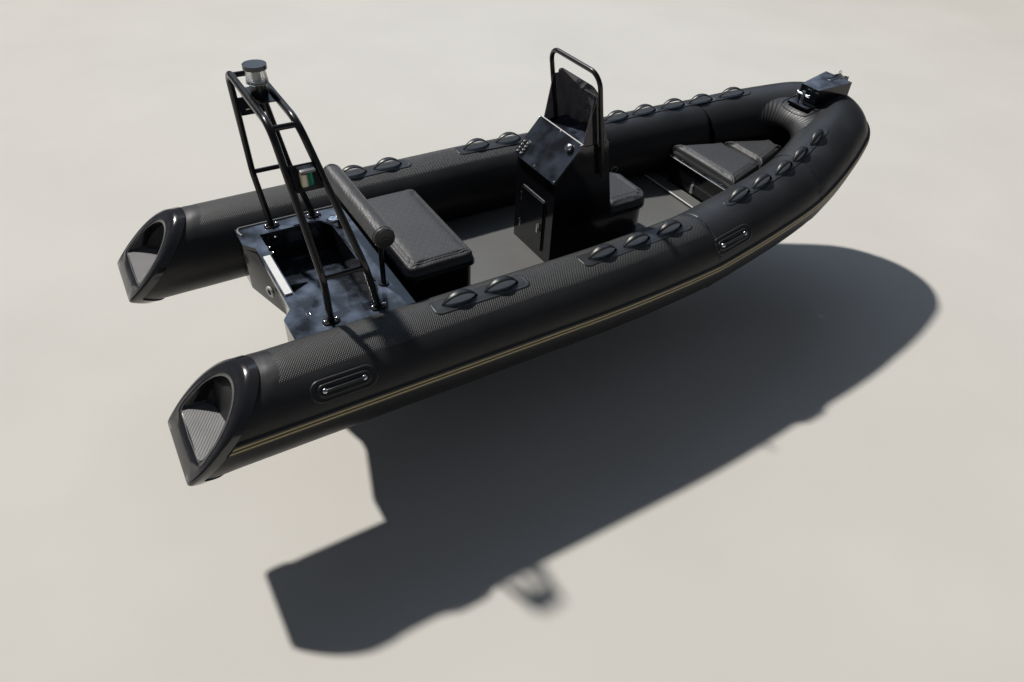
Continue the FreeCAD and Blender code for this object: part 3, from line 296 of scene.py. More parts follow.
# %% [markdown]
# Finishes. Every surface gets a base colour that drifts a little, a roughness that drifts too, and a fine bump.
# One function builds that from noise on Object coordinates; the ribbed, woven and stitched surfaces add their
# own pattern to the bump.
# %% Finish helper
class Finish:
    """One procedural material, built step by step."""

    def __init__(self, name, colour, rough, slot=None, metallic=0.0, specular=0.5, drift=0.25, drift_scale=6.0,
                 rough_drift=0.08):
        self.slot = slot
        self.material = bpy.data.materials.new(name)
        self.material.use_nodes = True
        self.tree = self.material.node_tree
        self.shader = self.tree.nodes["Principled BSDF"]
        self.coords = self.tree.nodes.new("ShaderNodeTexCoord")
        self.bump = None
        self.shader.inputs["Metallic"].default_value = metallic
        self.shader.inputs["Specular IOR Level"].default_value = specular
        cloud = self.noise(drift_scale, 4.0)
        dark = tuple(c * (1 - drift) for c in colour) + (1.0,)
        light = tuple(min(1.0, c * (1 + drift)) for c in colour) + (1.0,)
        ramp = self.ramp(cloud, (0.3, dark), (0.7, light))
        self.link(ramp.outputs["Color"], self.shader.inputs["Base Color"])
        self.colour_out = ramp.outputs["Color"]
        fine = self.noise(drift_scale * 5, 3.0)
        spread = self.node("MapRange", To_Min=max(0.0, rough - rough_drift), To_Max=min(1.0, rough + rough_drift))
        self.link(fine.outputs["Fac"], spread.inputs["Value"])
        self.link(spread.outputs["Result"], self.shader.inputs["Roughness"])

    def link(self, a, b):
        self.tree.links.new(a, b)

    def node(self, kind, **values):
        """A shader node with some inputs set. An underscore stands for the space in an input's name."""
        made_node = self.tree.nodes.new("ShaderNode" + kind)
        for label, value in values.items():
            made_node.inputs[label.replace("_", " ")].default_value = value
        return made_node

    def mapping(self, scale=(1, 1, 1), turn=(0, 0, 0), kind="Object"):
        node = self.node("Mapping", Scale=scale, Rotation=tuple(math.radians(t) for t in turn))
        self.link(self.coords.outputs[kind], node.inputs["Vector"])
        return node

    def noise(self, scale, detail=2.0, stretch=(1, 1, 1)):
        node = self.node("TexNoise", Scale=scale, Detail=detail)
        self.link(self.mapping(stretch).outputs["Vector"], node.inputs["Vector"])
        return node

    def ramp(self, source, low, high):
        node = self.node("ValToRGB")
        node.color_ramp.elements[0].position, node.color_ramp.elements[0].color = low
        node.color_ramp.elements[1].position, node.color_ramp.elements[1].color = high
        self.link(source.outputs["Fac"], node.inputs["Fac"])
        return node

    def bands(self, pitch, turn, kind="Object", distortion=0.0):
        """Bands at a pitch in metres. Blender's repeat every 2*pi/20 divided by their scale."""
        node = self.node("TexWave", Scale=2 * math.pi / 20.0 / pitch, Distortion=distortion)
        node.wave_type, node.bands_direction = "BANDS", "X"
        self.link(self.mapping((1, 1, 1), turn, kind).outputs["Vector"], node.inputs["Vector"])
        return node

    def blend(self, a, b, operation):
        node = self.node("Math")
        node.operation = operation
        self.link(a, node.inputs[0])
        self.link(b, node.inputs[1])
        return node.outputs["Value"]

    def raise_by(self, height, distance, strength=1.0):
        """Adds one more layer of bump, the height in metres."""
        node = self.node("Bump", Distance=distance, Strength=strength)
        self.link(height, node.inputs["Height"])
        if self.bump:
            self.link(self.bump, node.inputs["Normal"])
        self.bump = node.outputs["Normal"]
        self.link(self.bump, self.shader.inputs["Normal"])
        return self

    def grain(self, scale, distance, strength=0.5, detail=2.0, stretch=(1, 1, 1)):
        return self.raise_by(self.noise(scale, detail, stretch).outputs["Fac"], distance, strength)

    def ribs(self, pitch, turn, distance, strength, distortion=0.0):
        return self.raise_by(self.bands(pitch, turn, distortion=distortion).outputs["Fac"], distance, strength)

    def painted_gloss_and_dust(self, colour, low, high, scale, weight, thin=0.35):
        """Paints a lighter colour on what faces up, in soft clouds: a painted highlight and sky reflection, with a
        little dust and dried water.
        """
        surface, split = self.node("NewGeometry"), self.node("SeparateXYZ")
        self.link(surface.outputs["Normal"], split.inputs["Vector"])
        facing = self.node("MapRange", From_Min=low, From_Max=high, To_Max=weight)
        self.link(split.outputs["Z"], facing.inputs["Value"])
        clouds = self.ramp(self.noise(scale, 6.0), (0.42, (thin, thin, thin, 1)), (0.70, (1, 1, 1, 1)))
        amount = self.blend(facing.outputs["Result"], clouds.outputs["Color"], "MULTIPLY")
        mix = self.node("Mix")
        mix.data_type = "RGBA"
        self.link(amount, mix.inputs["Factor"])
        self.link(self.colour_out, mix.inputs[6])
        mix.inputs[7].default_value = tuple(colour) + (1.0,)
        self.link(mix.outputs[2], self.shader.inputs["Base Color"])
        self.colour_out = mix.outputs[2]
        return self

    def coat(self, weight, rough):
        self.shader.inputs["Coat Weight"].default_value = weight
        self.shader.inputs["Coat Roughness"].default_value = rough
        return self

    def sheen(self, weight):
        self.shader.inputs["Sheen Weight"].default_value = weight
        self.shader.inputs["Sheen Roughness"].default_value = 0.4
        return self


# %% [markdown]
# The collar is coated fabric: black, softly shining, with a very fine weave; a lighter grey in soft clouds on its
# upward faces is a painted highlight with a little dust. Its top carries a non-slip skin whose raised ribs cross in
# two diagonals. The cones, the deck and the console are glossy gelcoat, in which the sky leaves a mottled
# reflection, so their roughness drifts more and a shallow ripple is added. On the gelcoat that reflection is also
# painted into the colour as bluish soft clouds on what faces up: a painted sky reflection with a little dust.
# %% The finishes
tube_skin = Finish("coated_fabric", (0.011, 0.0113, 0.0123), 0.44, "tube_fabric", specular=0.42, drift=0.12,
                   drift_scale=2.5)
# Painted highlight: a lighter grey in soft clouds on the tube's upward faces, with a little dust.
tube_skin.grain(9.0, 0.004, 0.35).grain(900.0, 0.0003).painted_gloss_and_dust((0.046, 0.048, 0.054), 0.45, 1.0, 3.5, 0.75)

RIB_PITCH, RIB_TURN = 0.0085, 38
grip_skin = Finish("nonslip_skin", (0.030, 0.031, 0.032), 0.46, "tube_fabric", specular=0.45, drift=0.15,
                   drift_scale=3.0)
rib_a, rib_b = [grip_skin.bands(RIB_PITCH, (0, 0, turn), "UV") for turn in (RIB_TURN, -RIB_TURN)]
grip_skin.raise_by(grip_skin.blend(rib_a.outputs["Fac"], rib_b.outputs["Fac"], "MULTIPLY"), 0.0022, 0.9)

seam_tape = Finish("seam_tape", (0.017, 0.0175, 0.0185), 0.38, "tube_fabric", specular=0.45, drift=0.15,
                   drift_scale=8.0)
# Painted highlight: a lighter grey in soft clouds on the tape's upward faces, with a little dust.
seam_tape.painted_gloss_and_dust((0.04, 0.042, 0.046), 0.5, 1.0, 6.0, 0.6).grain(600.0, 0.0004)
strake_rubber = Finish("strake_rubber", (0.013, 0.013, 0.014), 0.42, drift=0.2, drift_scale=9.0)
strake_rubber.grain(300.0, 0.0005, 0.4)
handle_rubber = Finish("handle_rubber", (0.013, 0.0135, 0.0145), 0.36, "strake_rubber", drift=0.2, drift_scale=12.0)
handle_rubber.grain(450.0, 0.0005, 0.6)
Finish("stripe_gold", (0.27, 0.2, 0.08), 0.45, drift=0.15, drift_scale=15.0).grain(400.0, 0.0003, 0.3)

gelcoat = Finish("black_gelcoat", (0.008, 0.0085, 0.0105), 0.14, "gelcoat_black", specular=0.42, drift=0.3,
                 drift_scale=4.0, rough_drift=0.07)
gelcoat.grain(5.0, 0.006, 0.18, 3.0).grain(120.0, 0.0006, 0.15).coat(0.3, 0.05)
# Painted sky reflection: bluish soft clouds on what faces up, with a little dust.
gelcoat.painted_gloss_and_dust((0.115, 0.142, 0.20), 0.5, 1.0, 8.0, 1.0, 0.08)
cone_gloss = Finish("cone_plastic", (0.012, 0.012, 0.014), 0.16, "cone_plastic", specular=0.55, drift_scale=5.0)
cone_gloss.grain(14.0, 0.003, 0.2).coat(0.5, 0.06)

arch_black = Finish("arch_paint", (0.005, 0.005, 0.0055), 0.3, "arch_black", specular=0.35, drift=0.2)
arch_black.grain(250.0, 0.0004, 0.2).coat(0.15, 0.1)
steel = Finish("polished_steel", (0.62, 0.63, 0.65), 0.16, "steel_polished", 1.0, drift=0.06, drift_scale=30.0)
steel.grain(60.0, 0.0003, 0.15, 3.0, (1, 1, 12))
floor_grey = Finish("deck_floor", (0.115, 0.115, 0.112), 0.62, drift=0.12, drift_scale=3.0)
floor_grey.grain(220.0, 0.0008, 0.6)
plate_white = Finish("engine_pad", (0.78, 0.78, 0.77), 0.38, "plate_white", drift=0.04, drift_scale=20.0)
plate_white.grain(300.0, 0.0004, 0.3)
drain_white = Finish("drain_ring_plastic", (0.55, 0.55, 0.53), 0.4, "plate_white", drift=0.06, drift_scale=20.0)
drain_white.grain(200.0, 0.0004, 0.3)
pad_rubber = Finish("step_rubber", (0.17, 0.17, 0.175), 0.6, drift=0.12, drift_scale=10.0)
pad_rubber.ribs(0.012, (0, 0, 32), 0.0015, 0.9)
lamp_grey = Finish("lamp_plastic", (0.16, 0.16, 0.165), 0.4, "lamp_grey", drift=0.1, drift_scale=25.0)
lamp_grey.grain(500.0, 0.0004, 0.4)
Finish("roller_rubber", (0.03, 0.03, 0.03), 0.6, drift=0.2, drift_scale=20.0).grain(300.0, 0.0006)
galvanised = Finish("galvanised_steel", (0.42, 0.43, 0.44), 0.42, "cradle_galvanised", 0.75, drift=0.18,
                    drift_scale=28.0)
galvanised.grain(90.0, 0.0005, 0.25)
carpet = Finish("bunk_carpet", (0.06, 0.06, 0.065), 0.95, specular=0.1, drift=0.3, drift_scale=60.0)
carpet.grain(700.0, 0.002, 1.0).sheen(0.3)

vinyl = Finish("charcoal_vinyl", (0.048, 0.048, 0.051), 0.5, "vinyl_charcoal", specular=0.4, drift=0.12,
               drift_scale=5.0)
vinyl.ribs(0.0085, (0, 0, 52), 0.0006, 0.4).grain(11.0, 0.003, 0.2, 3.0)
QUILT_PITCH, QUILT_TURN = 0.038, 38
for turn in (QUILT_TURN, -QUILT_TURN):
    line = vinyl.ramp(vinyl.bands(QUILT_PITCH, (0, 0, turn)), (0.0, (0, 0, 0, 1)), (0.05, (1, 1, 1, 1)))
    vinyl.raise_by(line.outputs["Color"], 0.0010, 0.5)
vinyl.grain(500.0, 0.0006).sheen(0.12)
roll_vinyl = Finish("roll_vinyl", (0.055, 0.055, 0.058), 0.44, "vinyl_charcoal", specular=0.4, drift=0.12,
                    drift_scale=5.0)
roll_vinyl.ribs(0.017, (0, 0, 80), 0.0012, 0.35, 5.0).grain(12.0, 0.002, 0.25, 3.0).grain(500.0, 0.0006).sheen(0.12)
seam_thread = Finish("seam_piping", (0.03, 0.03, 0.032), 0.5, "vinyl_charcoal", drift=0.2, drift_scale=40.0)
seam_thread.grain(900.0, 0.0003, 0.4)


def glass_finish(name, colour, rough, weight):
    finish = Finish(name, colour, rough, "lens_clear", drift=0.05, drift_scale=8.0, rough_drift=0.02)
    finish.shader.inputs["Transmission Weight"].default_value = weight
    finish.shader.inputs["IOR"].default_value = 1.45
    return finish.grain(60.0, 0.0002, 0.1)


glass_finish("smoked_screen", (0.05, 0.048, 0.058), 0.05, 0.55)
lens_clear = glass_finish("clear_lens", (0.9, 0.93, 0.92), 0.08, 0.9).ribs(0.006, (0, 90, 0), 0.001, 0.5)
glass_finish("red_lens", (0.5, 0.015, 0.012), 0.12, 0.3)
glass_finish("green_lens", (0.01, 0.28, 0.16), 0.12, 0.3)
lens_cream = glass_finish("cream_lens", (0.75, 0.68, 0.5), 0.15, 0.2)
white_mark = Finish("white_mark", (0.7, 0.7, 0.68), 0.5, "plate_white", drift=0.05, drift_scale=60.0)
white_mark.grain(400.0, 0.0002, 0.2)
print("finishes made:", len(bpy.data.materials))

# %% [markdown]
# Most rigid nodes already have the right shape, so they keep their mesh and only take a finish.
# %% Finishes for the rigid nodes
NODE_FINISH = {
    "strake_rubber": ("rub_strake",), "stripe_gold": ("strake_stripes",),
    "cone_plastic": ("masthead_housing", "nav_housings"),
    "black_gelcoat": ("hull", "aft_deck", "transom", "aft_seat_box", "aft_seat_lid", "console_shell",
                      "console_door", "dash_panel", "console_seat_box", "console_seat_lid", "bow_locker",
                      "bow_locker_lid", "bow_box"),
    "deck_floor": ("cockpit_floor", "bow_step"), "engine_pad": ("motor_plate",),
    "polished_steel": ("drain_rings", "filler_cap", "arch_flanges", "door_hinges", "door_latch",
                       "bow_locker_latch", "bow_cleat"),
    "arch_paint": ("arch_aft", "arch_fore", "arch_rungs", "arch_brackets", "backrest_posts", "grab_rail"),
    "clear_lens": ("masthead_lens",),
    "red_lens": ("nav_lens_port",), "green_lens": ("nav_lens_starboard",), "smoked_screen": ("windshield",),
    "step_rubber": ("cone_step_pads",), "roller_rubber": ("anchor_roller", "cradle_feet"),
    "galvanised_steel": ("cradle_cross_members", "cradle_rails", "cradle_posts"),
    "bunk_carpet": ("cradle_pads",), "handle_rubber": ("carry_grips",)}
for material_name, nodes in NODE_FINISH.items():
    for node in nodes:
        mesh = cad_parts[node].data
        mesh.materials.clear()
        mesh.materials.append(bpy.data.materials[material_name])
print("nodes finished:", sum(len(n) for n in NODE_FINISH.values()))

# %% [markdown]
# The chambers of the collar are inflated fabric tubes. Each is a grid of points along the path and round the
# tube, so that seam tapes can stand a little proud and the inside of the tight bow corner can wrinkle. The
# stern ends follow the sloped face of the cones. UVs run in metres along and round the tube for the ribs.
# A known fault: the fore and bow chambers don't quite meet, and a thin dark line stays open at their joint.
# %% The inflated chambers
COLUMNS = 96
CONE_LIP = 0.624
RIM_DEPTH = 0.064
TAPE_REACH = 0.038
STEP = 0.025
MITRE_OVERLAP = 0.004
CONE_OVERLAP = 0.012
ROW_OVERRUN = 0.02
JOINT_OVERLAP = 0.12


def slope_start(angle):
    """Station of the cones' sloped face at an angle round the tube."""
    return abs(AXIS_Z + TUBE_RADIUS * math.sin(angle) - CONE_LIP)


def soft_noise(*place):
    return noise.noise(Vector(place))


def wrinkle(u, angle, side):
    """How far the fabric stands out of the round tube, in metres."""
    height = 0.0007 * soft_noise(u * 5.0, math.cos(angle) * 1.6, math.sin(angle) * 1.6 + 9 * side)
    from_cone = u - slope_start(angle) - RIM_DEPTH
    if from_cone < 0.09:
        fade = max(0.0, 1 - abs(from_cone - 0.055) / 0.05)
        bend = from_cone + 0.006 * soft_noise(angle * 2.2, 3.0 * side, 1.0)
        height += 0.0030 * fade * math.sin(bend * 2 * math.pi / 0.024) * (0.6 + soft_noise(angle * 3, side, 5))
        height += 0.0016 * fade * soft_noise(u * 30, angle * 6.0, 4.0 * side)
    for joint in (FORE_JOINT, BOW_JOINT):
        if abs(u - joint) < TAPE_REACH:
            height += 0.0007 * min(1.0, (TAPE_REACH - abs(u - joint)) / 0.006)
    start, _, radius, h0 = ARC_ROWS[2]
    path = u if u < start else start + radius * (plan_point(u)[1] - h0)
    corner = math.exp(-((path - 4.50) / 0.17) ** 2) * max(0.0, 0.2 - math.cos(angle)) ** 1.2
    if corner > 0.01:
        folds = math.sin(path * 2 * math.pi / 0.052 + 2.4 * soft_noise(path * 6, angle * 1.3, side))
        ease = min(1.0, abs(path - start - radius * (math.pi / 2 - h0)) / 0.03)
        depth = 0.6 + soft_noise(path * 9, angle * 1.8, 7 + side)
        height += 0.0075 * corner * ease * (abs(folds) ** 0.7 - 0.75) * depth
    return height


def mitre_shift(u, angle, limit, lean, keep_below):
    """Moves a grid point that lies beyond its chamber's mitre plane back to just past that plane."""
    edge = limit + TUBE_RADIUS * math.sin(angle) * math.tan(lean) + (MITRE_OVERLAP if keep_below else -MITRE_OVERLAP)
    for _ in range(4):
        past = u + TUBE_RADIUS * math.cos(angle) * math.sin(plan_point(u)[1]) - edge
        u -= max(0.0, past) if keep_below else min(0.0, past)
    return u


def chamber_rows(start, end, step):
    count = max(2, round((end - start) / step))
    return [start + (end - start) * i / count for i in range(count + 1)]


def bow_rows(start):
    """Even steps along the path also where it turns across the bow."""
    turn_start, _, radius, h0 = ARC_ROWS[2]
    headings = [h0 + (math.pi / 2 - h0) * i / 30 for i in range(1, 31)]
    across = [turn_start + radius * (math.sin(h) - math.sin(h0)) for h in headings]
    return chamber_rows(start, turn_start, 0.012) + across


def chamber_skin(side, chamber, rows):
    """The (vertices, faces) of one side of a chamber, and its UVs."""
    verts, uvs = [], []
    for u_row in rows:
        for k in range(COLUMNS + 1):
            angle = 2 * math.pi * k / COLUMNS - math.pi / 2
            u = u_row
            if chamber == 0:
                low = slope_start(angle) + RIM_DEPTH - CONE_OVERLAP
                u = low + u_row * (FORE_JOINT + ROW_OVERRUN - low) / FORE_JOINT
                u = mitre_shift(u, angle, FORE_JOINT, -FORE_TILT / 2, True)
            if chamber == 1:
                u = mitre_shift(u, angle, FORE_JOINT, FORE_TILT / 2, False)
                u = mitre_shift(u, angle, BOW_JOINT, (FORE_TILT - BOW_TILT) / 2, True)
            if chamber == 2:
                u = mitre_shift(u, angle, BOW_JOINT, (BOW_TILT - FORE_TILT) / 2, False)
            verts.append(collar_point(u, angle, wrinkle(u, angle, side), side, chamber))
            uvs.append((u, angle * TUBE_RADIUS))
    return (verts, grid_faces(len(rows), COLUMNS + 1)), uvs


def add_chamber(name, node, skins):
    uvs = [uv for _, skin_uvs in skins for uv in skin_uvs]
    piece = new_piece(name, join_meshes([part for part, _ in skins]), tube_skin, uvs=uvs)
    tidy_mesh(piece, 1e-4)
    close_rims(piece)
    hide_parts(node)


def close_rims(piece):
    """Fills the open ends, which lie inside the neighbouring pieces."""
    with editing(piece.data) as work:
        bmesh.ops.holes_fill(work, edges=[e for e in work.edges if e.is_boundary], sides=0)
        bmesh.ops.recalc_face_normals(work, faces=work.faces)
    for polygon in piece.data.polygons:
        polygon.use_smooth = len(polygon.vertices) < 5


AFT_ROWS = chamber_rows(0.0, FORE_JOINT, STEP)
FORE_ROWS = chamber_rows(FORE_JOINT - JOINT_OVERLAP, BOW_JOINT + ROW_OVERRUN, STEP)
BOW_ROWS = bow_rows(BOW_JOINT - JOINT_OVERLAP)
for side, word in SIDES:
    add_chamber("chamber_aft_" + word, "tube_aft_" + word, [chamber_skin(side, 0, AFT_ROWS)])
    add_chamber("chamber_fore_" + word, "tube_fore_" + word, [chamber_skin(side, 1, FORE_ROWS)])
add_chamber("chamber_bow", "tube_bow", [chamber_skin(side, 2, BOW_ROWS) for side, _ in SIDES])

# %% [markdown]
# In the tight bow corner the two sides are joined by a rounded web of the same fabric. It is a short tube that
# turns on a wider circle inside the collar, and it lies in folds where the fabric is gathered. Its lower part
# turns further forward, so that the locker's lid can swing up behind it.
# %% The bow web
WEB_STARTS, WEB_RADIUS = (4.360, 4.200), 0.200
WEB_ROWS, WEB_COLUMNS = 111, 64


def web_point(share, angle):
    high = min(1.0, max(0.0, math.sin(angle) / 0.55))
    high = high * high * (3 - 2 * high)
    places, along = [], 0.156 * math.pi * (share - 0.5) * 0.8
    inward = max(0.0, -math.cos(angle)) ** 0.8 * min(1.0, math.sin(math.pi * share) * 1.6)
    folds = math.sin(along * 2 * math.pi / 0.030 + 2.0 * soft_noise(along * 9, angle * 1.1, 2.0))
    fold = 0.0065 * inward * (abs(folds) ** 0.7 - 0.75) * (0.65 + soft_noise(along * 12, angle * 1.7, 8.0))
    for start in WEB_STARTS:
        y, h0 = plan_point(start)
        turn = (h0 - 0.10) + (math.pi - 2 * (h0 - 0.10)) * share
        reach = y / math.cos(h0) - TUBE_RADIUS + WEB_RADIUS + (WEB_RADIUS + fold) * math.cos(angle)
        ahead = start - y * math.tan(h0) + reach * math.sin(turn)
        x, z = lift(ahead, AXIS_Z + (WEB_RADIUS + fold) * math.sin(angle), 2)
        places.append(Vector((STERN + x, reach * math.cos(turn), z)))
    return places[0].lerp(places[1], high)


web_verts = [web_point(i / (WEB_ROWS - 1), a) for i in range(WEB_ROWS) for a in turns(WEB_COLUMNS)]
web = new_piece("bow_web", (web_verts, capped_faces(WEB_ROWS, WEB_COLUMNS)), tube_skin)
print("bow web faces:", len(web.data.polygons))


# %% [markdown]
# Patches are thin fabric skins glued on the tube. Each is a patch of the same grid, with a rounded outline and a
# low raised border, a little proud of the tube.
# %% Glued skins
def rounded_outline(half_length, half_width, corner, count=10):
    points = []
    for cx, cy, a0 in ((1, 1, 0), (-1, 1, 90), (-1, -1, 180), (1, -1, 270)):
        for i in range(count):
            a = math.radians(a0 + 90 * i / (count - 1))
            points.append((cx * (half_length - corner) + corner * math.cos(a),
                           cy * (half_width - corner) + corner * math.sin(a)))
    return points


def patch_skin(name, side, u_mid, angle_mid, half_length, half_width, corner, proud, border):
    """A patch whose rings shrink towards its middle line, so that its outline stays rounded."""
    outline = rounded_outline(half_length, half_width, corner)
    count, rings = len(outline), 10
    shrink = [0.0, 0.0, 0.004, 0.010, 0.014] + [0.014 + (half_width - 0.0141) * i / rings for i in range(1, rings + 1)]
    heights = [-0.002, proud * 0.7, proud + border, proud + border, proud] + [proud] * rings
    verts, uvs = [], []
    for inset, height in zip(shrink, heights):
        for x, y in outline:
            px = math.copysign(max(0.0, abs(x) - inset), x) if abs(x) > half_length - half_width else x
            py = y * (1 - inset / half_width)
            u, angle = u_mid + px, angle_mid + py / TUBE_RADIUS
            verts.append(collar_point(u, angle, height, side))
            uvs.append((u, angle * TUBE_RADIUS))
    last = (len(shrink) - 1) * count
    faces = grid_faces(len(shrink), count, False, True) + [tuple(range(last, last + count))]
    piece = new_piece(name, (verts, faces), seam_tape, uvs=uvs)
    tidy_mesh(piece, 1e-5)


GRIP_START, GRIP_END, GRIP_ANGLES = 0.40, 2.86, (58, 122)
GRIP_COLUMNS, GRIP_PROUD = 28, 0.0012
CONE_MARGIN = 0.075


def grip_zone(name, side):
    """A broad non-slip skin over the top of the aft chamber."""
    rows = chamber_rows(GRIP_START, GRIP_END, 0.03)
    verts, uvs = [], []
    for i, u_row in enumerate(rows):
        for k in range(GRIP_COLUMNS + 1):
            angle = math.radians(GRIP_ANGLES[0] + (GRIP_ANGLES[1] - GRIP_ANGLES[0]) * k / GRIP_COLUMNS)
            low = slope_start(angle) + RIM_DEPTH + CONE_MARGIN
            u = low + (u_row - GRIP_START) * (GRIP_END - low) / (GRIP_END - GRIP_START)
            edge = i in (0, len(rows) - 1) or k in (0, GRIP_COLUMNS)
            verts.append(collar_point(u, angle, -0.001 if edge else GRIP_PROUD, side))
            uvs.append((u, angle * TUBE_RADIUS))
    new_piece(name, (verts, grid_faces(len(rows), GRIP_COLUMNS + 1)), grip_skin, uvs=uvs)


for side, word in SIDES:
    grip_zone("grip_top_" + word, side)
print("glued skins made")

# %% [markdown]
# The grab loops are leaf-shaped straps of moulded rubber: wide in the middle, pointed at both ends, and arched so
# that a hand fits under. Two or three share one bordered patch along the side; those at the bow have a small
# patch each. The straps replace the plain loops of the frame.
# %% Grab loops and their patches
LOOP_STATIONS = (1.350, 1.575, 2.180, 2.410, 2.650, 3.243, 3.453, 3.675, 3.895, 4.115)
LOOP_LENGTH, LOOP_SINK = 0.200, 0.003
LOOP_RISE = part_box("grab_loops_port_aft")[1][2] - AXIS_Z - TUBE_RADIUS
STRAP_WIDE, STRAP_THIN, STRAP_THICK = 0.046, 0.014, 0.006
STRAP_STEPS, STRAP_SIDES = 28, 10


def loop_strap(u_mid, side):
    """A leaf-shaped strap as a closed box section swept over an arch."""
    verts = []
    base = collar_point(u_mid, math.pi / 2, 0.0, side)
    ahead = collar_point(u_mid + 0.03, math.pi / 2, 0.0, side) - collar_point(u_mid - 0.03, math.pi / 2, 0.0, side)
    along = ahead.normalized()
    across = Vector((0, 0, 1)).cross(along).normalized()
    up = along.cross(across).normalized()
    for i in range(STRAP_STEPS + 1):
        t = -1 + 2 * i / STRAP_STEPS
        rise = (LOOP_RISE + LOOP_SINK) * (1 - abs(t) ** 2.2) - LOOP_SINK
        half = STRAP_THIN / 2 + (STRAP_WIDE - STRAP_THIN) / 2 * math.cos(t * math.pi / 2) ** 1.3
        for a in turns(STRAP_SIDES):
            c, w = math.cos(a), math.sin(a)
            n = math.copysign(abs(c) ** 0.6, c) * half
            h = math.copysign(abs(w) ** 0.8, w) * STRAP_THICK / 2
            sag = 0.004 * (n / half) ** 2
            verts.append(base + along * (t * LOOP_LENGTH / 2) + across * n + up * (rise - STRAP_THICK / 2 + h - sag))
    return verts, capped_faces(STRAP_STEPS + 1, STRAP_SIDES)


for side, word in SIDES:
    for group, stations in (("aft", LOOP_STATIONS[:5]), ("fore", LOOP_STATIONS[5:])):
        straps = new_piece("straps_%s_%s" % (word, group), join_meshes([loop_strap(u, side) for u in stations]),
                           handle_rubber)
        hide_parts("grab_loops_%s_%s" % (word, group))
    for label, u_mid, half in (("a", 1.4625, 0.255), ("b", 2.415, 0.375)):
        patch_skin("loop_patch_%s_%s" % (word, label), side, u_mid, math.pi / 2, half, 0.055, 0.03, 0.0026,
                   0.0018)
    for number, u_mid in enumerate(LOOP_STATIONS[5:], 1):
        patch_skin("bow_patch_%s_%d" % (word, number), side, u_mid, math.pi / 2, 0.128, 0.036, 0.034, 0.0022,
                   0.0012)
print("loops:", len(LOOP_STATIONS) * 2, "rise", round(LOOP_RISE, 4))


# %% [markdown]
# On the outer side of each tube sit carry handles: a moulded bar between two bright end posts, in the middle of
# an oval patch with two embossed rings.
# %% Carry handles
CARRY_ANGLE = math.radians(36)
CARRY_ARCH = ((-0.088, 0.002), (-0.085, 0.012), (-0.074, 0.0165), (-0.04, 0.018), (0.0, 0.018), (0.04, 0.018),
              (0.074, 0.0165), (0.085, 0.012), (0.088, 0.002))
CARRY_POST = ((0, 0), (0.0135, 0), (0.013, 0.009), (0.011, 0.0165), (0.007, 0.0195), (0, 0.020))


def carry_handle(tail, u, side):
    """The patch, the embossed ring, the bar and its two posts."""
    patch_skin("carry_patch_" + tail, side, u, CARRY_ANGLE, 0.150, 0.052, 0.05, 0.0025, 0.003)
    patch_skin("carry_ring_" + tail, side, u, CARRY_ANGLE, 0.118, 0.030, 0.028, 0.0055, 0.0025)
    arch = [collar_point(u + s, CARRY_ANGLE, h, side) for s, h in CARRY_ARCH]
    new_piece("carry_bar_" + tail, tube_mesh(arch, 0.0065), handle_rubber)
    knobs = []
    for s in (-0.088, 0.088):
        low, high = [collar_point(u + s, CARRY_ANGLE, h, side) for h in (-0.002, 0.02)]
        knobs.append(lathe_mesh(CARRY_POST, low, high - low, 20))
    new_piece("carry_posts_" + tail, join_meshes(knobs), steel)


for side, word in SIDES:
    for number, u in enumerate((0.705, 3.000), 1):
        carry_handle("%s_%d" % (word, number), u, side)
print("carry handles: 4")

# %% [markdown]
# The stern cones are moulded end caps cut on a slope. The rim is a rounded band round a D-shaped pocket, so the
# cap is drawn as rings that run from the tube over the rim and down the pocket to its end wall.
# %% Stern cones
POCKET_RADIUS, POCKET_FLOOR, POCKET_END = 0.174, 0.692, 0.430
RIM_RADIUS = TUBE_RADIUS + 0.007
LIP_BLEND = 0.010
CONE_SIDES = 128
CONE_ANGLES = [2 * math.pi * (k + 0.5) / CONE_SIDES for k in range(CONE_SIDES)]


def pocket_edge(t):
    """Radius of the D-shaped opening at an angle, with its corners eased."""
    drop = AXIS_Z - POCKET_FLOOR
    flat = drop / -math.sin(t) if math.sin(t) < -1e-3 else 10.0
    sharp = 14.0
    return (POCKET_RADIUS ** -sharp + flat ** -sharp) ** (-1 / sharp)


def cone_piece(word, side):
    rows = (("out", 0.0, 0.064), ("out", 0.0, 0.03), ("out", 0.0, 0.014), ("out", 0.004, 0.005),
            ("out", 0.012, 0.0005), ("lip", 0.30, 0.0), ("lip", 0.62, 0.0), ("lip", 1.0, 0.0), ("face", 0.3, 0.0),
            ("face", 0.65, 0.0), ("in", 0.016, -0.001), ("in", 0.008, 0.001), ("in", 0.002, 0.006),
            ("in", 0.0, 0.016), ("in", 0.0, 0.05), ("deep", 0.0, 0.0), ("end", 0.0, 0.0))
    verts = []
    for kind, inset, shift in rows:
        for t in CONE_ANGLES:
            edge = pocket_edge(t)
            outer, inner = RIM_RADIUS - 0.012, edge + 0.016
            lip_ring = (AXIS_Z - CONE_LIP) / max(1e-3, -math.sin(t)) if math.sin(t) < 0 else 10.0
            lip_ring = min(outer - 0.004, max(inner + 0.004, lip_ring)) if lip_ring < 10.0 else (outer + inner) / 2
            radius = {"out": RIM_RADIUS - inset, "in": edge + inset, "deep": edge, "end": edge * 0.02,
                      "lip": outer + (lip_ring - outer) * inset, "face": lip_ring + (inner - lip_ring) * inset}[kind]
            y, z = radius * math.cos(t), AXIS_Z + radius * math.sin(t)
            station = abs(z - CONE_LIP) + shift
            if abs(z - CONE_LIP) < LIP_BLEND:
                station = ((z - CONE_LIP) ** 2 + LIP_BLEND ** 2) / (2 * LIP_BLEND) + shift
            if kind in ("deep", "end"):
                station = POCKET_END
            verts.append(Vector((STERN + station, side * (AXIS_Y + y), z)))
    piece = new_piece("cone_cap_" + word, (verts, grid_faces(len(rows), CONE_SIDES, False, True)), cone_gloss)
    auto_smooth(piece, 50)
    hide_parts("cone_" + word)


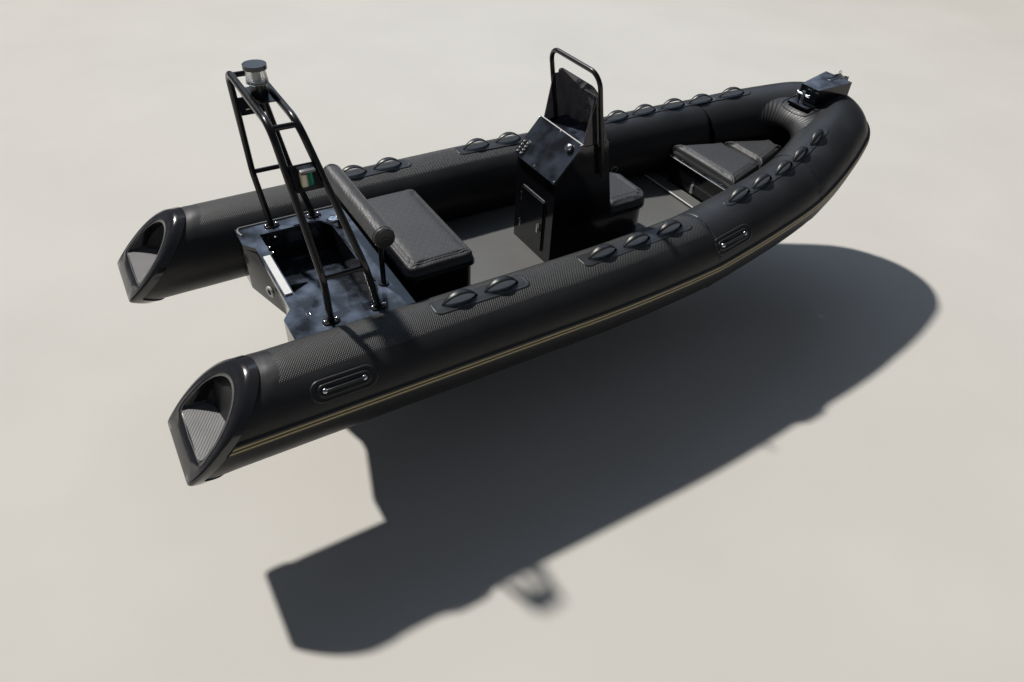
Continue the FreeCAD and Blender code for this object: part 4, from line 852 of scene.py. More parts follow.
for side, word in SIDES:
    cone_piece(word, side)
    loop = []
    for t in CONE_ANGLES:
        radius = pocket_edge(t) + 0.0035
        z = AXIS_Z + radius * math.sin(t)
        loop.append((STERN + abs(z - CONE_LIP) + 0.004, side * (AXIS_Y + radius * math.cos(t)), z))
    new_piece("pocket_bead_" + word, tube_mesh(loop, 0.0022, 8, True), floor_grey)
print("cones: 2")

# %% [markdown]
# Small things come in numbers: stitches run along a seam and bolts sit at marked points. Two node groups make
# them. One walks along a line at a fixed pitch, the other sets a copy on every point. Both turn each copy to a
# stored direction, so that a stitch lies on the fabric and a bolt stands off its plate.
# %% Repeating small pieces with Geometry Nodes
def socket_of(sockets):
    return next(s for s in sockets if s.enabled)


def repeat_group(title, along_line):
    group = bpy.data.node_groups.new(title, "GeometryNodeTree")
    for label, kind in (("Points", "Geometry"), ("Pitch", "Float"), ("Template", "Object"),
                        ("Material", "Material"), ("Turn spread", "Float"), ("Seed", "Int")):
        group.interface.new_socket(label, in_out="INPUT", socket_type="NodeSocket" + kind)
    group.interface.new_socket("Copies", in_out="OUTPUT", socket_type="NodeSocketGeometry")
    new, link = group.nodes.new, group.links.new
    start, end = new("NodeGroupInput"), new("NodeGroupOutput")
    points = start.outputs["Points"]
    tangent = new("GeometryNodeInputNamedAttribute")
    tangent.data_type = "FLOAT_VECTOR"
    tangent.inputs["Name"].default_value = "along"
    tangent_out = socket_of(tangent.outputs)
    if along_line:
        curve, resample = new("GeometryNodeMeshToCurve"), new("GeometryNodeResampleCurve")
        resample.mode = "LENGTH"
        link(points, curve.inputs["Mesh"])
        link(curve.outputs["Curve"], resample.inputs["Curve"])
        link(start.outputs["Pitch"], resample.inputs["Length"])
        points = resample.outputs["Curve"]
        tangent_out = new("GeometryNodeInputTangent").outputs["Tangent"]
    aim = new("GeometryNodeInputNamedAttribute")
    aim.data_type = "FLOAT_VECTOR"
    aim.inputs["Name"].default_value = "aim"
    stand, turn = new("FunctionNodeAlignRotationToVector"), new("FunctionNodeAlignRotationToVector")
    stand.axis, turn.axis, turn.pivot_axis = "Z", "X", "Z"
    link(socket_of(aim.outputs), stand.inputs["Vector"])
    link(stand.outputs["Rotation"], turn.inputs["Rotation"])
    link(tangent_out, turn.inputs["Vector"])
    template, copies = new("GeometryNodeObjectInfo"), new("GeometryNodeInstanceOnPoints")
    link(start.outputs["Template"], template.inputs["Object"])
    link(points, copies.inputs["Points"])
    link(template.outputs["Geometry"], copies.inputs["Instance"])
    link(turn.outputs["Rotation"], copies.inputs["Rotation"])
    spread, negative = new("FunctionNodeRandomValue"), new("ShaderNodeMath")
    negative.operation = "MULTIPLY"
    negative.inputs[1].default_value = -1.0
    link(start.outputs["Turn spread"], negative.inputs[0])
    floats = [s for s in spread.inputs if s.type == "VALUE"]
    link(negative.outputs[0], floats[0])
    link(start.outputs["Turn spread"], floats[1])
    link(start.outputs["Seed"], spread.inputs["Seed"])
    wobble, rotate = new("ShaderNodeCombineXYZ"), new("GeometryNodeRotateInstances")
    link(next(s for s in spread.outputs if s.type == "VALUE"), wobble.inputs["Z"])
    link(copies.outputs["Instances"], rotate.inputs["Instances"])
    link(wobble.outputs["Vector"], rotate.inputs["Rotation"])
    real, paint = new("GeometryNodeRealizeInstances"), new("GeometryNodeSetMaterial")
    link(rotate.outputs["Instances"], real.inputs["Geometry"])
    link(real.outputs["Geometry"], paint.inputs["Geometry"])
    link(start.outputs["Material"], paint.inputs["Material"])
    link(paint.outputs["Geometry"], end.inputs["Copies"])
    return group


ALONG_LINE = repeat_group("copies_along_a_line", True)
ON_POINTS = repeat_group("copies_on_points", False)
TEMPLATES = {}


TEMPLATE_SHAPES = {
    "stitch": ([(0, -.0032), (.0007, -.0026), (.0010, 0), (.0007, .0026), (0, .0032)], (1, 0, 0), 6),
    "dome": ([(0, 0), (.011, 0), (.0112, .003), (.0098, .0068), (.0062, .0094), (0, .0104)], (0, 0, 1), 18),
    "screw": ([(0, 0), (.0048, 0), (.0046, .0010), (.0026, .0018), (.0012, .0016), (.001, .0007), (0, .0006)],
              (0, 0, 1), 14),
    "hex": ([(0, 0), (.011, 0), (.011, .0065), (.0098, .0075), (0, .0075)], (0, 0, 1), 6)}


def template_object(key):
    if key not in TEMPLATES:
        profile, axis, sides = TEMPLATE_SHAPES[key]
        TEMPLATES[key] = new_object("template_" + key, *lathe_mesh(profile, (0, 0, 0), axis, sides))
        tidy_mesh(TEMPLATES[key])
        auto_smooth(TEMPLATES[key], 40)
    return TEMPLATES[key]


def repeated(name, key, points, aims, finish, body="boat", pitch=None, closed=False, spread=0.0, seed=7):
    """Copies of a template on the points, or along the line through them when a pitch is given."""
    edges = [(i, i + 1) for i in range(len(points) - 1)] if pitch else []
    if pitch and closed:
        edges.append((len(points) - 1, 0))
    piece = new_object(name, points, [], edges)
    for label, values in (("aim", aims), ("along", [(1, 0, 0)] * len(points))):
        layer = piece.data.attributes.new(label, "FLOAT_VECTOR", "POINT")
        layer.data.foreach_set("vector", [c for v in values for c in v])
    group = ALONG_LINE if pitch else ON_POINTS
    values = {"Pitch": pitch or 1.0, "Template": template_object(key), "Material": finish.material,
              "Turn spread": spread, "Seed": seed}
    modifier = piece.modifiers.new("repeat", "NODES")
    modifier.node_group = group
    for item in group.interface.items_tree:
        if item.in_out == "INPUT" and item.name in values:
            modifier[item.identifier] = values[item.name]
    piece.update_tag()
    apply_modifiers(piece)
    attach(piece, body)
    PIECES.append(name)


def at(station, y, z):
    return Vector((STERN + station, y, z))


def look_down(tree, station, y):
    """Where a ray from above meets the tree, and the normal there."""
    return tree.ray_cast(at(station, y, 3.0), Vector((0, 0, -1)))[:2]


def part_of(mesh):
    return [v.co.copy() for v in mesh.vertices], [tuple(p.vertices) for p in mesh.polygons]


def made(name, part, finish, body="boat", sharp=35.0, bevel=0.0):
    piece = new_piece(name, part, finish, body)
    if bevel:
        bevelled(piece, bevel, sharp)
    else:
        auto_smooth(piece, sharp)
    return piece


print("node groups:", len(bpy.data.node_groups))

# %% [markdown]
# The cushions are foam blocks in stretched vinyl. A copy of each block is pulled in a little, remeshed into
# even cells, and blown up by the cloth solver with its base held, so that the top crowns and the sides pull in
# between the corners. Its points may only move so far, and never outside the block's own space. Afterwards a
# border seam is pressed into the top, and stitches are laid in it.
# %% Padded pieces
def solid_of(node, low=-99.0, high=99.0):
    """The node's mesh in the row frame, between two stations."""
    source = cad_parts[node]
    verts = [source.matrix_world @ v.co for v in source.data.vertices]
    faces = [tuple(p.vertices) for p in source.data.polygons
             if low < sum(verts[i].x for i in p.vertices) / len(p.vertices) - STERN < high]
    return verts, faces


def scratch(name, part):
    piece = new_object(name, *part)
    with editing(piece.data) as work:
        bmesh.ops.delete(work, geom=[v for v in work.verts if not v.link_faces], context="VERTS")
    tidy_mesh(piece, 1e-5)
    return piece


PULL_IN, HELD_BASE, CROWN_EDGE = 0.003, 0.012, 0.05
PRESSURE, CLOTH_FRAMES = 4.0, 20
SEAM_DEPTH, SEAM_WIDTH = 0.0030, 0.0036
MID_SEAM_DEPTH, MID_SEAM_WIDTH = 0.0016, 0.0035


def swollen(name, part, voxel, cap, hold=None):
    """The soft form of a block: its vertices and faces, after remesh, cloth and one subdivision."""
    piece = scratch(name, part)
    coords = [v.co.copy() for v in piece.data.vertices]
    low = Vector([min(c[k] for c in coords) for k in range(3)])
    high = Vector([max(c[k] for c in coords) for k in range(3)])
    middle, half = (low + high) / 2, (high - low) / 2
    for v in piece.data.vertices:
        for k in range(3):
            v.co[k] = middle[k] + (v.co[k] - middle[k]) * (1 - PULL_IN / half[k])
    remesh = piece.modifiers.new("cells", "REMESH")
    remesh.mode, remesh.voxel_size = "VOXEL", voxel
    apply_modifiers(piece)
    rest = [v.co.copy() for v in piece.data.vertices]
    hold = hold or (lambda p: p.z < low.z + HELD_BASE)
    pins = piece.vertex_groups.new(name="held")
    pins.add([i for i, p in enumerate(rest) if hold(p)], 1.0, "REPLACE")
    cloth = piece.modifiers.new("pressure", "CLOTH")
    cloth.settings.use_pressure = True
    cloth.settings.uniform_pressure_force = PRESSURE
    cloth.settings.vertex_group_mass = "held"
    cloth.settings.effector_weights.gravity = 0.0
    cloth.point_cache.frame_start, cloth.point_cache.frame_end = 1, CLOTH_FRAMES
    for number in range(1, CLOTH_FRAMES + 1):
        bpy.context.scene.frame_set(number)
    shape = piece.evaluated_get(bpy.context.evaluated_depsgraph_get()).data
    moved = [v.co.copy() for v in shape.vertices]
    piece.modifiers.clear()
    bpy.context.scene.frame_set(1)
    for v, start, end in zip(piece.data.vertices, rest, moved):
        step = end - start
        if step.length > cap:
            step *= cap / step.length
        place = start + step
        place.x = min(high.x + 0.001, max(low.x - 0.001, place.x))
        place.y = min(high.y + 0.004, max(low.y - 0.004, place.y))
        place.z = max(low.z + 0.0002, place.z)
        v.co = place
    smooth = piece.modifiers.new("even", "SMOOTH")
    smooth.factor, smooth.iterations = 0.5, 4
    fine = piece.modifiers.new("fine", "SUBSURF")
    fine.levels = fine.render_levels = 1
    apply_modifiers(piece)
    result = part_of(piece.data)
    bpy.data.objects.remove(piece)
    return result


def dense_line(points, step, closed=False):
    out = []
    for a, b in zip(points, points[1:] + points[:1] if closed else points[1:]):
        a, b = Vector(a), Vector(b)
        count = max(1, round((b - a).length / step))
        out += [a.lerp(b, i / count) for i in range(count)]
    return out if closed else out + [Vector(points[-1])]


def pressed_seams(part, lines, mid_seam):
    """Presses grooves along plan lines into the top, and one level groove into the sides."""
    work = bmesh.new()
    made_verts = [work.verts.new(v) for v in part[0]]
    for face in part[1]:
        work.faces.new([made_verts[i] for i in face])
    work.normal_update()
    tree = BVHTree.FromBMesh(work)
    draped = []
    for line in lines:
        row = []
        for p in line:
            hit, normal = look_down(tree, p[0], p[1])
            if hit is not None:
                row.append((hit, normal if normal.z > 0 else -normal))
        draped.append(row)
    seam_points = [hit for row in draped for hit, _ in row]
    finder = KDTree(max(1, len(seam_points)))
    for i, p in enumerate(seam_points):
        finder.insert(p, i)
    finder.balance()
    for v in work.verts:
        sink = 0.0
        if seam_points:
            _, _, gap = finder.find(v.co)
            sink += SEAM_DEPTH * math.exp(-(gap / SEAM_WIDTH) ** 2)
        if abs(v.normal.z) < 0.6:
            sink += MID_SEAM_DEPTH * math.exp(-((v.co.z - mid_seam) / MID_SEAM_WIDTH) ** 2)
        v.co -= v.normal * sink
    work.verts.index_update()
    result = [v.co.copy() for v in work.verts], [tuple(x.index for x in f.verts) for f in work.faces]
    work.free()
    return result, draped


STITCH_PITCH = 0.009


def cushion(name, node, body, sections, voxel, cap, mid_seam):
    parts, rows = [], []
    for low, high, section_lines in sections:
        part = swollen(name + "_core", solid_of(node, low, high), voxel, cap)
        dense = [dense_line(line, 0.003, closed) for line, closed in section_lines]
        part, draped = pressed_seams(part, dense, mid_seam)
        parts.append(part)
        rows += [(row, closed) for row, (_, closed) in zip(draped, section_lines)]
    piece = new_piece(name, join_meshes(parts), vinyl, body=body)
    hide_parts(node)
    for number, (row, closed) in enumerate(rows, 1):
        points = [hit + normal * 0.0002 - Vector((0, 0, 0.0036)) for hit, normal in row]
        repeated("%s_stitches_%d" % (name, number), "stitch", points, [n for _, n in row], seam_thread, body,
                 STITCH_PITCH, closed)


def inset_box(x0, x1, half, inset):
    return [(x0 + inset, half - inset, 0), (x1 - inset, half - inset, 0), (x1 - inset, -half + inset, 0),
            (x0 + inset, -half + inset, 0)]


cushion("aft_seat_pad", "aft_seat_cushion", "aft_seat_lid_body",
        [(-9, 9, [(inset_box(1.225, 1.610, 0.385, inset), True) for inset in (0.034, 0.046)])], 0.007, 0.010, 0.941)
cushion("console_seat_pad", "console_seat_cushion", "console_seat_lid_body",
        [(-9, 9, [([(2.612, y, 0), (x, y, 0), (x, -y, 0), (2.612, -y, 0)], False)
                  for x, y in ((2.866, 0.141), (2.854, 0.129))])], 0.006, 0.010, 0.843)
cushion("bow_pads", "bow_cushions", "bow_locker_lid_body",
        [(-9, 3.870, [([(3.864, y, 0), (x, y + 0.100, 0), (x, -y - 0.100, 0), (3.864, -y, 0)], False)
                      for x, y in ((3.548, 0.142), (3.560, 0.130))]),
         (3.870, 9, [([(3.876, y, 0), (x, y - 0.104, 0), (x, 0.104 - y, 0), (3.876, -y, 0)], False)
                     for x, y in ((4.158, 0.139), (4.148, 0.127))])], 0.0065, 0.012, 0.826)
print("padded:", [name for name in PIECES if name.endswith(("_pad", "_pads"))])

# %% [markdown]
# The backrest is a long roll of wadding in a vinyl sleeve. It is tied in near both ends, where a seam ring and a
# flat round cap close it, and slanting creases run over it because the sleeve is twisted a little as it is laced.
# %% Backrest roll
ROLL_X, ROLL_Z, ROLL_HALF = 1.130, 1.172, 0.362
RING_Y, RING_RADIUS = 0.338, 0.0565


def creased(part):
    verts = []
    for v in part[0]:
        dx, dz = v.x - STERN - ROLL_X, v.z - ROLL_Z
        radius, angle = math.hypot(dx, dz), math.atan2(dz, dx)
        slant = v.y * 26 + angle * 1.3
        soft = soft_noise(slant, v.y * 3.0, math.cos(angle) * 1.5)
        crease = -0.0009 * max(0.0, 1 - abs(soft) * 5.5)
        crease += 0.0010 * soft_noise(v.y * 9, math.cos(angle) * 2, math.sin(angle) * 2)
        ring = -0.0035 * math.exp(-((abs(v.y) - RING_Y) / 0.004) ** 2)
        scale = (radius + (crease + ring) * min(1.0, radius / 0.04)) / max(radius, 1e-6)
        verts.append(Vector((STERN + ROLL_X + dx * scale, v.y, ROLL_Z + dz * scale)))
    return verts, part[1]


roll_part = creased(swollen("roll_core", solid_of("backrest_roll"), 0.0055, 0.004,
                            hold=lambda p: abs(p.y) > ROLL_HALF - 0.02))
roll = new_piece("backrest_pad", roll_part, roll_vinyl)
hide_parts("backrest_roll")


def roll_ring(radius, y, count):
    return [at(ROLL_X + radius * math.cos(a), y, ROLL_Z + radius * math.sin(a)) for a in turns(count)]


CAP_PROFILE = ((0.0001, -0.002), (0.0455, -0.002), (0.0455, 0.0008), (0.043, 0.0014), (0.0001, 0.0014))
BUTTON_PROFILE = ((0, 0), (0.011, 0), (0.010, 0.003), (0.006, 0.0046), (0, 0.005))
for side, word in SIDES:
    ring = roll_ring(RING_RADIUS, side * RING_Y, 96)
    outward = [(p - at(ROLL_X, p.y, ROLL_Z)).normalized() for p in ring]
    repeated("roll_stitches_" + word, "stitch", [p - out * 0.0022 for p, out in zip(ring, outward)], outward,
             seam_thread, pitch=0.008, closed=True)
    made("roll_cap_piping_" + word, tube_mesh(roll_ring(0.0465, side * 0.3605, 48), 0.0024, 8, True), seam_thread)
    made("roll_cap_" + word, lathe_mesh(CAP_PROFILE, at(ROLL_X, side * 0.3602, ROLL_Z), (0, side, 0), 40),
         handle_rubber)
    made("roll_button_" + word, lathe_mesh(BUTTON_PROFILE, at(ROLL_X, side * 0.3615, ROLL_Z), (0, side, 0), 20),
         handle_rubber)
print("roll faces:", len(roll.data.polygons))

# %% [markdown]
# Round the engine well the deck has a moulded bead. Inside it sit towing eyes, a hose gland and a small fin on
# the floor. The two drains wear broad white flanged rings.
# %% Engine well fittings
def well_corner(x0, x1, half, corner, y_end, z):
    """Along the port rim, round its forward corner and across the front."""
    bend = [math.radians(90 - 90 * i / 12) for i in range(13)]
    points = [(x0, half)] + [(x1 - corner + corner * math.cos(a), half - corner + corner * math.sin(a)) for a in bend]
    return [at(x, y, z) for x, y in points + [(x1, y_end)]]


made("well_bead", tube_mesh(well_corner(0.90, 1.095, 0.413, 0.118, -0.26, 0.8800), 0.0050, 10), gelcoat)
deck_tree = BVHTree.FromPolygons(*solid_of("aft_deck"))
DECK_ABOVE_AXIS = 0.150
lip_line, y = [], AXIS_Y - math.sqrt(TUBE_RADIUS ** 2 - DECK_ABOVE_AXIS ** 2)
for i in range(48):
    x = 0.50 + 0.0145 * i
    hit, _ = look_down(deck_tree, x, y - 0.012)
    if hit is not None and hit.z > 0.87:
        lip_line.append(at(x, y - 0.003, 0.881))
ear = lip_line[0].x - STERN
lip_start = [at(ear + 0.012, 0.435, 0.8795), at(ear + 0.001, 0.470, 0.8800), at(ear + 0.003, 0.495, 0.8805)]
lip_line = lip_start + lip_line[1:]
# Painted highlight: the glossy black lip is drawn in pale grey plastic, which stands in for the light along its edge.
made("deck_lip", tube_mesh(dense_line(lip_line, 0.03), 0.0070, 10), lamp_grey)
print("deck lip from station", round(ear, 3), "with", len(lip_line), "points")
made("plinth_line", tube_mesh([at(0.6635, y, 0.8535) for y in (-0.262, 0.0, 0.262)], 0.0025, 8), white_mark)
fin = [at(0.712, 0.118, 0.684), at(0.862, 0.146, 0.684), at(0.858, 0.146, 0.688), at(0.80, 0.135, 0.708),
       at(0.712, 0.118, 0.726)]
fin_verts = [p + Vector((0, s * 0.004, 0)) for s in (-1, 1) for p in fin]
fin_faces = [tuple(range(4, -1, -1)), tuple(range(5, 10))]
fin_faces += [(k, (k + 1) % 5, 5 + (k + 1) % 5, 5 + k) for k in range(5)]
made("well_fin", (fin_verts, fin_faces), gelcoat, bevel=0.0015)


def towing_eye(name, x, y, z):
    legs = [at(x - 0.006, y + s * 0.010, z) for s in (-1, 1)]
    bow_points = [at(x - 0.004 + 0.022 * math.sin(a), y - 0.010 * math.cos(a), z) for a in
                  (math.pi * k / 12 for k in range(13))]
    parts = [tube_mesh([legs[0]] + bow_points + [legs[1]], 0.0032, 10)]
    parts.append(placed(box_mesh(-0.0015, 0.002, -0.018, 0.018, -0.007, 0.007), Matrix.Translation(at(x, y, z))))
    parts += [lathe_mesh([(0, 0), (0.005, 0), (0.0045, 0.003), (0, 0.0035)], at(x + 0.002, y + s * 0.010, z),
                         (1, 0, 0), 12) for s in (-1, 1)]
    made(name, join_meshes(parts), steel)


for number, y in enumerate((0.292, 0.236, -0.345), 1):
    towing_eye("towing_eye_%d" % number, 0.714, y, 0.862)
made("hose_gland", lathe_mesh([(0, 0), (0.030, 0), (0.030, 0.004), (0.026, 0.008), (0.016, 0.012), (0.014, 0.026),
                               (0.009, 0.028), (0.008, 0.012), (0, 0.012)], at(0.789, 0.4055, 0.845), (0, -1, 0), 28),
     handle_rubber)

drain_turn = math.radians(17)
flanges, throats = [], []
for side in (1, -1):
    out = Vector((-math.cos(drain_turn), -side * math.sin(drain_turn), 0))
    centre = at(0.663, side * 0.171, 0.672)
    flanges.append(lathe_mesh([(0.0155, -0.010), (0.0155, 0.0035), (0.018, 0.0060), (0.024, 0.0066), (0.0300, 0.0060),
                               (0.0325, 0.0035), (0.0325, -0.003)], centre, out, 44))
    throats.append(lathe_mesh([(0.0156, 0.003), (0.0148, -0.0005), (0.0092, 0.0012), (0.0088, -0.014),
                               (0.0001, -0.0145)], centre, out, 32))
drain_flanges = made("drain_flanges", join_meshes(flanges), drain_white, sharp=60)
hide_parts("drain_rings")
made("drain_throats", join_meshes(throats), gelcoat, sharp=50)
print("well fittings made")

# %% [markdown]
# An inflation valve is a flush plastic cup in a welded patch: a pale rim, a recessed cap and a small knob.
# %% Inflation valves
def valve(name, u, angle, side):
    base, top = collar_point(u, angle, 0.0, side), collar_point(u, angle, 0.01, side)
    out = (top - base).normalized()
    rim = [(0.019, 0.0016), (0.0195, 0.0062), (0.0225, 0.0078), (0.027, 0.0066), (0.0295, 0.003), (0.030, -0.003)]
    made(name + "_rim", lathe_mesh(rim, base, out, 36), lamp_grey)
    cap = [(0.0192, 0.0052), (0.0188, 0.0022), (0.0095, 0.0022), (0.009, 0.0058), (0.0075, 0.0068), (0, 0.007)]
    made(name + "_cap", lathe_mesh(cap, base, out, 36), handle_rubber)


for chamber, u, degrees in (("aft", 0.668, 183), ("fore", 3.12, 186)):
    for side, word in SIDES:
        valve("valve_%s_%s" % (chamber, word), u, math.radians(degrees), side)
print("valves: 4")

# %% [markdown]
# Each leg of the arch ends in a low painted foot with two domed bolts, one ahead of it and one behind. The deck
# filler has a bright ring, a turning cap and a key slot across it.
# %% Arch feet and filler
feet_parts, bolt_points = [], []
FOOT_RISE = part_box("arch_flanges")[1][2]
FOOT_LONG, FOOT_WIDE = 0.042, 0.026
FOOT_STEPS = ((0.0, 0.8795), (0.0, 0.884), (0.002, 0.8868), (0.006, FOOT_RISE), (0.018, FOOT_RISE + 0.0004))
for x in (0.795, 1.030):
    for side in (1, -1):
        y = side * 0.464
        outline = rounded_outline(FOOT_LONG, FOOT_WIDE, 0.0255, 8)
        rows = [at(x + px * (1 - shrink / FOOT_LONG), y + py * (1 - shrink / FOOT_WIDE), z)
                for shrink, z in FOOT_STEPS for px, py in outline]
        feet_parts.append((rows, capped_faces(len(FOOT_STEPS), len(outline))))
        bolt_points += [at(x + s * 0.0285, y, FOOT_RISE - 0.0005) for s in (-1, 1)]
feet = made("arch_feet", join_meshes(feet_parts), arch_black, sharp=50)
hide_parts("arch_flanges")
repeated("arch_bolts", "dome", bolt_points, [(0, 0, 1)] * len(bolt_points), steel,
         spread=3.0, seed=11)
cap_centre = at(1.112, 0.377, 0.880)
made("filler_ring", lathe_mesh([(0.0245, 0.0122), (0.0255, 0.0136), (0.030, 0.013), (0.0335, 0.009), (0.036, 0.003),
                                (0.0365, -0.001)], cap_centre, (0, 0, 1), 44), steel)
made("filler_lid", lathe_mesh([(0, 0.0136), (0.012, 0.0138), (0.021, 0.0132), (0.0242, 0.0124), (0.0243, 0.009)],
                              cap_centre, (0, 0, 1), 40), steel)
slot_place = Matrix.Translation(cap_centre + Vector((0, 0, 0.0133))) @ Matrix.Rotation(math.radians(25), 4, "Z")
slot_box = placed(box_mesh(-0.013, 0.013, -0.0018, 0.0018, 0, 0.0012), slot_place)
made("filler_slot", slot_box, handle_rubber, bevel=0.0006)
print("arch bolts:", len(bolt_points))

# %% [markdown]
# The console. Its slanted dash carries a switch panel at the port edge, a bright domed cap at starboard and a
# bright strip along the upper edge. The marks on the switch panel are plain bars. The door sits in a rubber seal,
# and the screen's cut edges catch the light.
# %% Console details
DASH_ALONG, DASH_OUT = Vector((0.6694, 0, 0.7429)), Vector((-0.7429, 0, 0.6694))
DASH_X, DASH_Z, DASH_LENGTH = 2.167, 1.130, 0.2584


def dash(s, y, out=0.0):
    return at(DASH_X, y, DASH_Z) + DASH_ALONG * s + DASH_OUT * out


def dash_box(s0, s1, y0, y1, out0, out1):
    turn = Matrix((DASH_ALONG, Vector((0, 1, 0)), DASH_OUT)).transposed().to_4x4()
    return placed(box_mesh(s0, s1, y0, y1, out0, out1), Matrix.Translation(at(DASH_X, 0, DASH_Z)) @ turn)


made("dash_strip", tube_mesh([dash(DASH_LENGTH - 0.001, y, 0.0005) for y in (-0.211, -0.1, 0, 0.1, 0.211)], 0.0032, 10),
     plate_white)
made("switch_plate", dash_box(0.010, 0.106, 0.130, 0.207, -0.001, 0.0030), gelcoat,
     bevel=0.0012)
rockers, marks = [], []
for row in range(4):
    s = 0.0175 + row * 0.0215
    for y in (0.1385, 0.1745):
        rockers.append(dash_box(s, s + 0.0145, y, y + 0.0145, 0.0025, 0.0065))
        marks.append(dash_box(s + 0.002, s + 0.0125, y + 0.0175, y + 0.0225, 0.0029, 0.0036))
made("rocker_switches", join_meshes(rockers), handle_rubber, bevel=0.0012)
made("switch_marks", join_meshes(marks), white_mark)
DASH_CAP_PLACE = dash(0.2017, -0.148)
made("dash_cap_base", lathe_mesh([(0, 0), (0.026, 0), (0.026, 0.004), (0.0225, 0.0065), (0.0205, 0.014), (0, 0.014)],
                                 DASH_CAP_PLACE, DASH_OUT), handle_rubber)
made("dash_cap", lathe_mesh([(0.0215, 0.012), (0.0215, 0.020), (0.019, 0.0245), (0.012, 0.0275), (0, 0.0285)],
                            DASH_CAP_PLACE, DASH_OUT), steel)
corners = [dash(s, y, 0.0002) for s in (0.012, 0.246) for y in (-0.200, 0.0, 0.208)]
repeated("dash_screws", "screw", corners, [DASH_OUT] * 6, steel, spread=3.0, seed=3)
seal = [at(2.1885, y, z) for y, z in dense_outline(((-0.121, 0.633), (0.121, 0.633), (0.121, 0.967), (-0.121, 0.967)),
                                                   0.014)]
made("door_seal", tube_mesh(seal, 0.0032, 8, True), handle_rubber)
edge = [at(2.3475, -0.1965, 1.303), at(2.3745, -0.1965, 1.43), at(2.3985, -0.1965, 1.535), at(2.411, -0.1965, 1.588)]
made("screen_edge", tube_mesh(edge, 0.0022, 8), lens_clear)
print("console details made")

# %% [markdown]
# The navigation lamps: each side lamp has a coloured window facing ahead and a pale one facing aft, and the
# masthead lamp shows its inner column through the clear lens.
# %% Lamps
for side, word in SIDES:
    low, high = sorted((side * 0.3985, side * 0.4456))
    made("side_lamp_aft_window_" + word, station_box(0.7722, 0.7925, low, high, 1.5605, 1.6225), lens_cream,
         bevel=0.004)
    made("side_lamp_divider_" + word, station_box(0.7915, 0.7965, low - 0.0003, high + 0.0003, 1.5600, 1.6230),
         lamp_grey, bevel=0.001)
    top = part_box("nav_housings")[1][2]
    made("side_lamp_cap_" + word, station_box(0.7685, 0.8325, low - 0.003, high + 0.003, top - 0.010, top + 0.0015),
         lamp_grey, bevel=0.005)
lamp_middle = Vector(((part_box("masthead_lens")[0][0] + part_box("masthead_lens")[1][0]) / 2, 0, 0))
made("masthead_core", lathe_mesh([(0, 1.8405), (0.020, 1.8405), (0.020, 1.846), (0.012, 1.850), (0.012, 1.888),
                                  (0.017, 1.892), (0.017, 1.8975), (0, 1.8975)], lamp_middle, (0, 0, 1), 24),
     white_mark)
print("lamps detailed")

# %% [markdown]
# Towards the bow: a white strip along the step's edge and another under the locker's lid, both painted highlights
# where the sun catches these edges, a long over-centre latch, the channel plate behind the anchor roller with its
# shackle, and a welded border round the bow pad.
# %% Bow details
# Painted highlight: a white strip on the step's edge where the sun catches it.
made("step_nosing", station_box(3.4075, 3.4165, -0.446, 0.446, 0.5945, 0.6012), plate_white, bevel=0.0012)
# Painted highlight: a white strip on the lid's front edge where the sun catches it.
made("lid_trim", station_box(3.5030, 3.5056, -0.302, 0.302, 0.7772, 0.7834), plate_white,
     body="bow_locker_lid_body", bevel=0.0008)
(latch_x, latch_right, latch_foot), (latch_back, latch_left, latch_top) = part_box("bow_locker_latch")
latch_y = (latch_right + latch_left) / 2
latch_parts = [box_mesh(latch_x + 0.0045, latch_back + 0.0002, latch_right, latch_left, z0, z1)
               for z0, z1 in ((latch_foot, latch_foot + 0.030), (latch_top - 0.018, latch_top))]
latch_parts.append(box_mesh(latch_x + 0.001, latch_x + 0.0045, latch_y - 0.010, latch_y + 0.010, latch_foot + 0.004,
                            latch_top - 0.006))
for z in (latch_foot + 0.012, (latch_foot + latch_top) / 2, latch_top - 0.009):
    latch_parts.append(lathe_mesh([(0, 0), (0.010, 0), (0.0095, 0.0022), (0.006, 0.0036), (0, 0.004)],
                                  (latch_x + 0.004, latch_y, z), (-1, 0, 0), 20))
latch = made("bow_latch", join_meshes(latch_parts), steel)
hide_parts("bow_locker_latch")

BOX_TILT = math.atan2(0.027, 0.273)
PLATE_FORE, PLATE_AFT, PLATE_HALF = 4.648, 4.560, 0.015
plate = [(PLATE_FORE, PLATE_HALF), (PLATE_AFT, PLATE_HALF)]
plate += [(PLATE_AFT - PLATE_HALF * math.sin(a), PLATE_HALF * math.cos(a))
          for a in (math.pi * k / 10 for k in range(1, 10))]
plate += [(PLATE_AFT, -PLATE_HALF), (PLATE_FORE, -PLATE_HALF)]


def on_box(x, y, rise):
    return at(x, y, 1.226 + (x - 4.377) * math.tan(BOX_TILT) + rise)


levels = [[on_box(x, y, rise) for x, y in plate] for rise in (-0.002, 0.0012)]
plate_verts = levels[0] + levels[1]
count = len(plate)
plate_faces = [(k, (k + 1) % count, count + (k + 1) % count, count + k) for k in range(count)]
plate_faces += [tuple(range(count - 1, -1, -1)), tuple(range(count, 2 * count))]
made("roller_channel", (plate_verts, plate_faces), steel, bevel=0.0004)
made("roller_channel_rim", tube_mesh([on_box(x, y, 0.001) for x, y in plate], 0.0022, 8), gelcoat)
made("bow_shackle", tube_mesh([at(4.700 + 0.0125 * math.cos(a), 0.034, 1.262 + 0.0125 * math.sin(a))
                               for a in turns(32)], 0.0026, 8, True), steel)

